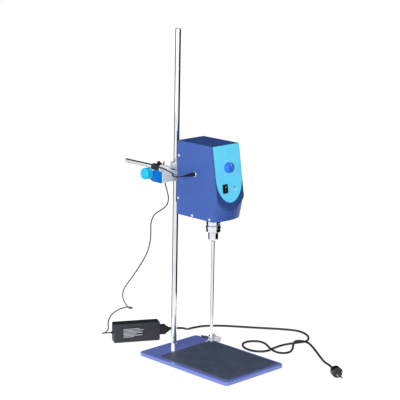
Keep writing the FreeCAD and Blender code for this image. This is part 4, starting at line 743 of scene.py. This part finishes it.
def stamped(name, shapes, place, target, body):
    """Joins flat shapes, and lays them as white ink on the target's surface."""
    bpy.ops.object.select_all(action="DESELECT")
    for shape in shapes:
        shape.select_set(True)
    bpy.context.view_layer.objects.active = shapes[0]
    if len(shapes) > 1:
        bpy.ops.object.join()
    mark = bpy.context.object
    mark.name = name
    mark.matrix_world = place
    wrap = mark.modifiers.new("laid_on", "SHRINKWRAP")
    wrap.target = nodes[target]
    wrap.wrap_method = "PROJECT"
    wrap.use_project_z = True
    wrap.use_negative_direction = True
    wrap.use_positive_direction = True
    wrap.wrap_mode = "ABOVE_SURFACE"
    wrap.offset = ink_thickness
    film = mark.modifiers.new("ink", "SOLIDIFY")
    film.thickness = ink_thickness
    bpy.ops.object.modifier_apply(modifier="laid_on")
    bpy.ops.object.modifier_apply(modifier="ink")
    settle()
    mark.data.materials.clear()
    mark.data.materials.append(print_white)
    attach(mark, body)


def on_fascia(across, down, out=drawing_rise):
    """A place on the fascia's slope, down from its top edge and out from its face."""
    return fascia_place @ Matrix.Translation((across, -down, out))


knob_across = 0.0005
knob_down = 0.0534
scale_radius = 0.0152
scale_line = 0.0007
scale_half = math.radians(140)
tick_line = 0.00045
tick_length = 0.0016
tick_radius = scale_radius + 0.0011
number_size = 0.003
number_radius = 0.0202
last_number = 10
scale_marks = [arc_shape(scale_radius, scale_line, -scale_half, 2 * scale_half)]
for number in range(last_number + 1):
    turn = scale_half * (2 * number / last_number - 1)
    scale_marks.append(bar_shape(tick_line, tick_length, 0, tick_radius, turn))
    if number:
        scale_marks.append(number_shape(number, number_size, number_radius * math.sin(turn),
                                        number_radius * math.cos(turn)))
stamped("speed_scale", scale_marks, on_fascia(knob_across, knob_down), "label_sheet", "head")

dot_radius = 0.0012
dot_across = -0.0127
dot_down = 0.0687
stamped("speed_start_dot", [ring_shape(dot_radius / 2, dot_radius)], on_fascia(dot_across, dot_down),
        "label_sheet", "head")

lamp_bar_length = 0.0130
lamp_bar_height = 0.0018
lamp_bar_across = 0.0158
lamp_bar_down = 0.1068
stamped("lamp_bar", [bar_shape(lamp_bar_length, lamp_bar_height, 0, 0)],
        on_fascia(lamp_bar_across, lamp_bar_down), "label_sheet", "head")


# Pointer of the speed knob
# White line let into the groove of the knob's face.

piece_gap = 0.0003
knob_height = 0.0108
groove_depth = 0.0006
pointer_size = (0.0010, 0.0066, 0.0005)
pointer_middle = 0.0060
pointer_edge = 0.0001
groove_floor = label_thickness + piece_gap + knob_height - groove_depth
bpy.ops.mesh.primitive_cube_add(size=1, location=(0, pointer_middle, groove_floor + pointer_size[2] / 2))
pointer_line = bpy.context.object
pointer_line.name = "pointer_line"
pointer_line.scale = pointer_size
settle()
edge_round = pointer_line.modifiers.new("edge_round", "BEVEL")
edge_round.width = pointer_edge
edge_round.segments = 2
bpy.ops.object.modifier_apply(modifier="edge_round")
pointer_line.matrix_world = on_fascia(knob_across, knob_down, out=0.0)
settle()
pointer_line.data.materials.append(print_white)
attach(pointer_line, "speed_knob")


# Marks of the power switch
# A ring on the rocker's upper pad and a bar on its lower pad, printed in white.

switch_across = -0.0165
switch_down = 0.1011
pad_middle = 0.0038
mark_rise = 2 * drawing_rise
off_ring_radius = 0.0014
off_ring_line = 0.0005
on_bar_width = 0.0006
on_bar_height = 0.0030
stamped("rocker_off_ring", [ring_shape(off_ring_radius, off_ring_line)],
        on_fascia(switch_across, switch_down - pad_middle, mark_rise), "switch_rocker", "switch_rocker")
stamped("rocker_on_bar", [bar_shape(on_bar_width, on_bar_height, 0, 0)],
        on_fascia(switch_across, switch_down + pad_middle, mark_rise), "switch_rocker", "switch_rocker")


# Print on the adaptor
# Plain pale lines, printed on the adaptor's long front face.

adaptor_face = Matrix(((adaptor_along.x, 0, -adaptor_behind.x, adaptor_left.x),
                       (adaptor_along.y, 0, -adaptor_behind.y, adaptor_left.y),
                       (0, 1, 0, 0),
                       (0, 0, 0, 1)))
print_start = 0.024
print_top = 0.0352
line_pitch = 0.0034
line_height = 0.0011
line_lengths = (0.041, 0.052, 0.046, 0.050, 0.034, 0.048, 0.027)
print_lines = [bar_shape(length, line_height, print_start + length / 2, print_top - row * line_pitch)
               for row, length in enumerate(line_lengths)]
stamped("adaptor_print", print_lines, adaptor_face @ Matrix.Translation((0, 0, drawing_rise)),
        "adaptor_case", "stand")


# Works inside the head
# Motor in a drawn steel can, brass gear, and a green board behind them.

dress("motor_can", turned_steel("drawn_can", colour(150, 152, 156), 0.3, 0.48))
dress("spindle_gear", turned_steel("gear_brass", colour(212, 176, 104), 0.22, 0.36))
board_green, tree, shader = new_material("board_green", colour(20, 92, 52), 0.0, 0.35)
tint(tree, shader, spread(tree, grain(tree, 400.0, detail=1.0), 0.0, 1.0), colour(16, 84, 46),
     colour(30, 108, 62))
dress("control_board", board_green)
dress("plug_pins", turned_steel("pin_nickel", colour(206, 200, 184), 0.15, 0.3))


# Chuck
# Turned from steel: a plain barrel with key holes, a toothed ring, a sleeve and a rounded nose with three
# jaws.

chuck_steel, tree, shader = new_material("chuck_steel", colour(232, 234, 238), 1.0, 0.12)
tint(tree, shader, spread(tree, grain(tree, 50.0, detail=6.0), 0.0, 1.0), colour(226, 228, 233),
     colour(238, 240, 244))
tree.links.new(spread(tree, grain(tree, 300.0, (0.2, 0.2, 12.0)), 0.06, 0.16), shader.inputs["Roughness"])
relief(tree, shader, grain(tree, 700.0, (0.1, 0.1, 14.0)), 0.00005, strength=0.3)
for node in ("chuck_core", "chuck_sleeve", "chuck_jaw_1", "chuck_jaw_2", "chuck_jaw_3"):
    dress(node, chuck_steel)


# Stirring shaft and impeller
# Ground stainless steel; the impeller's blades are welded on and left satin.

tool_steel = plated("tool_steel", (1.0, 1.0, 0.05), dull=0.24)
dress("stirring_shaft", tool_steel)
dress("impeller", turned_steel("welded_steel", colour(204, 206, 210), 0.22, 0.4))
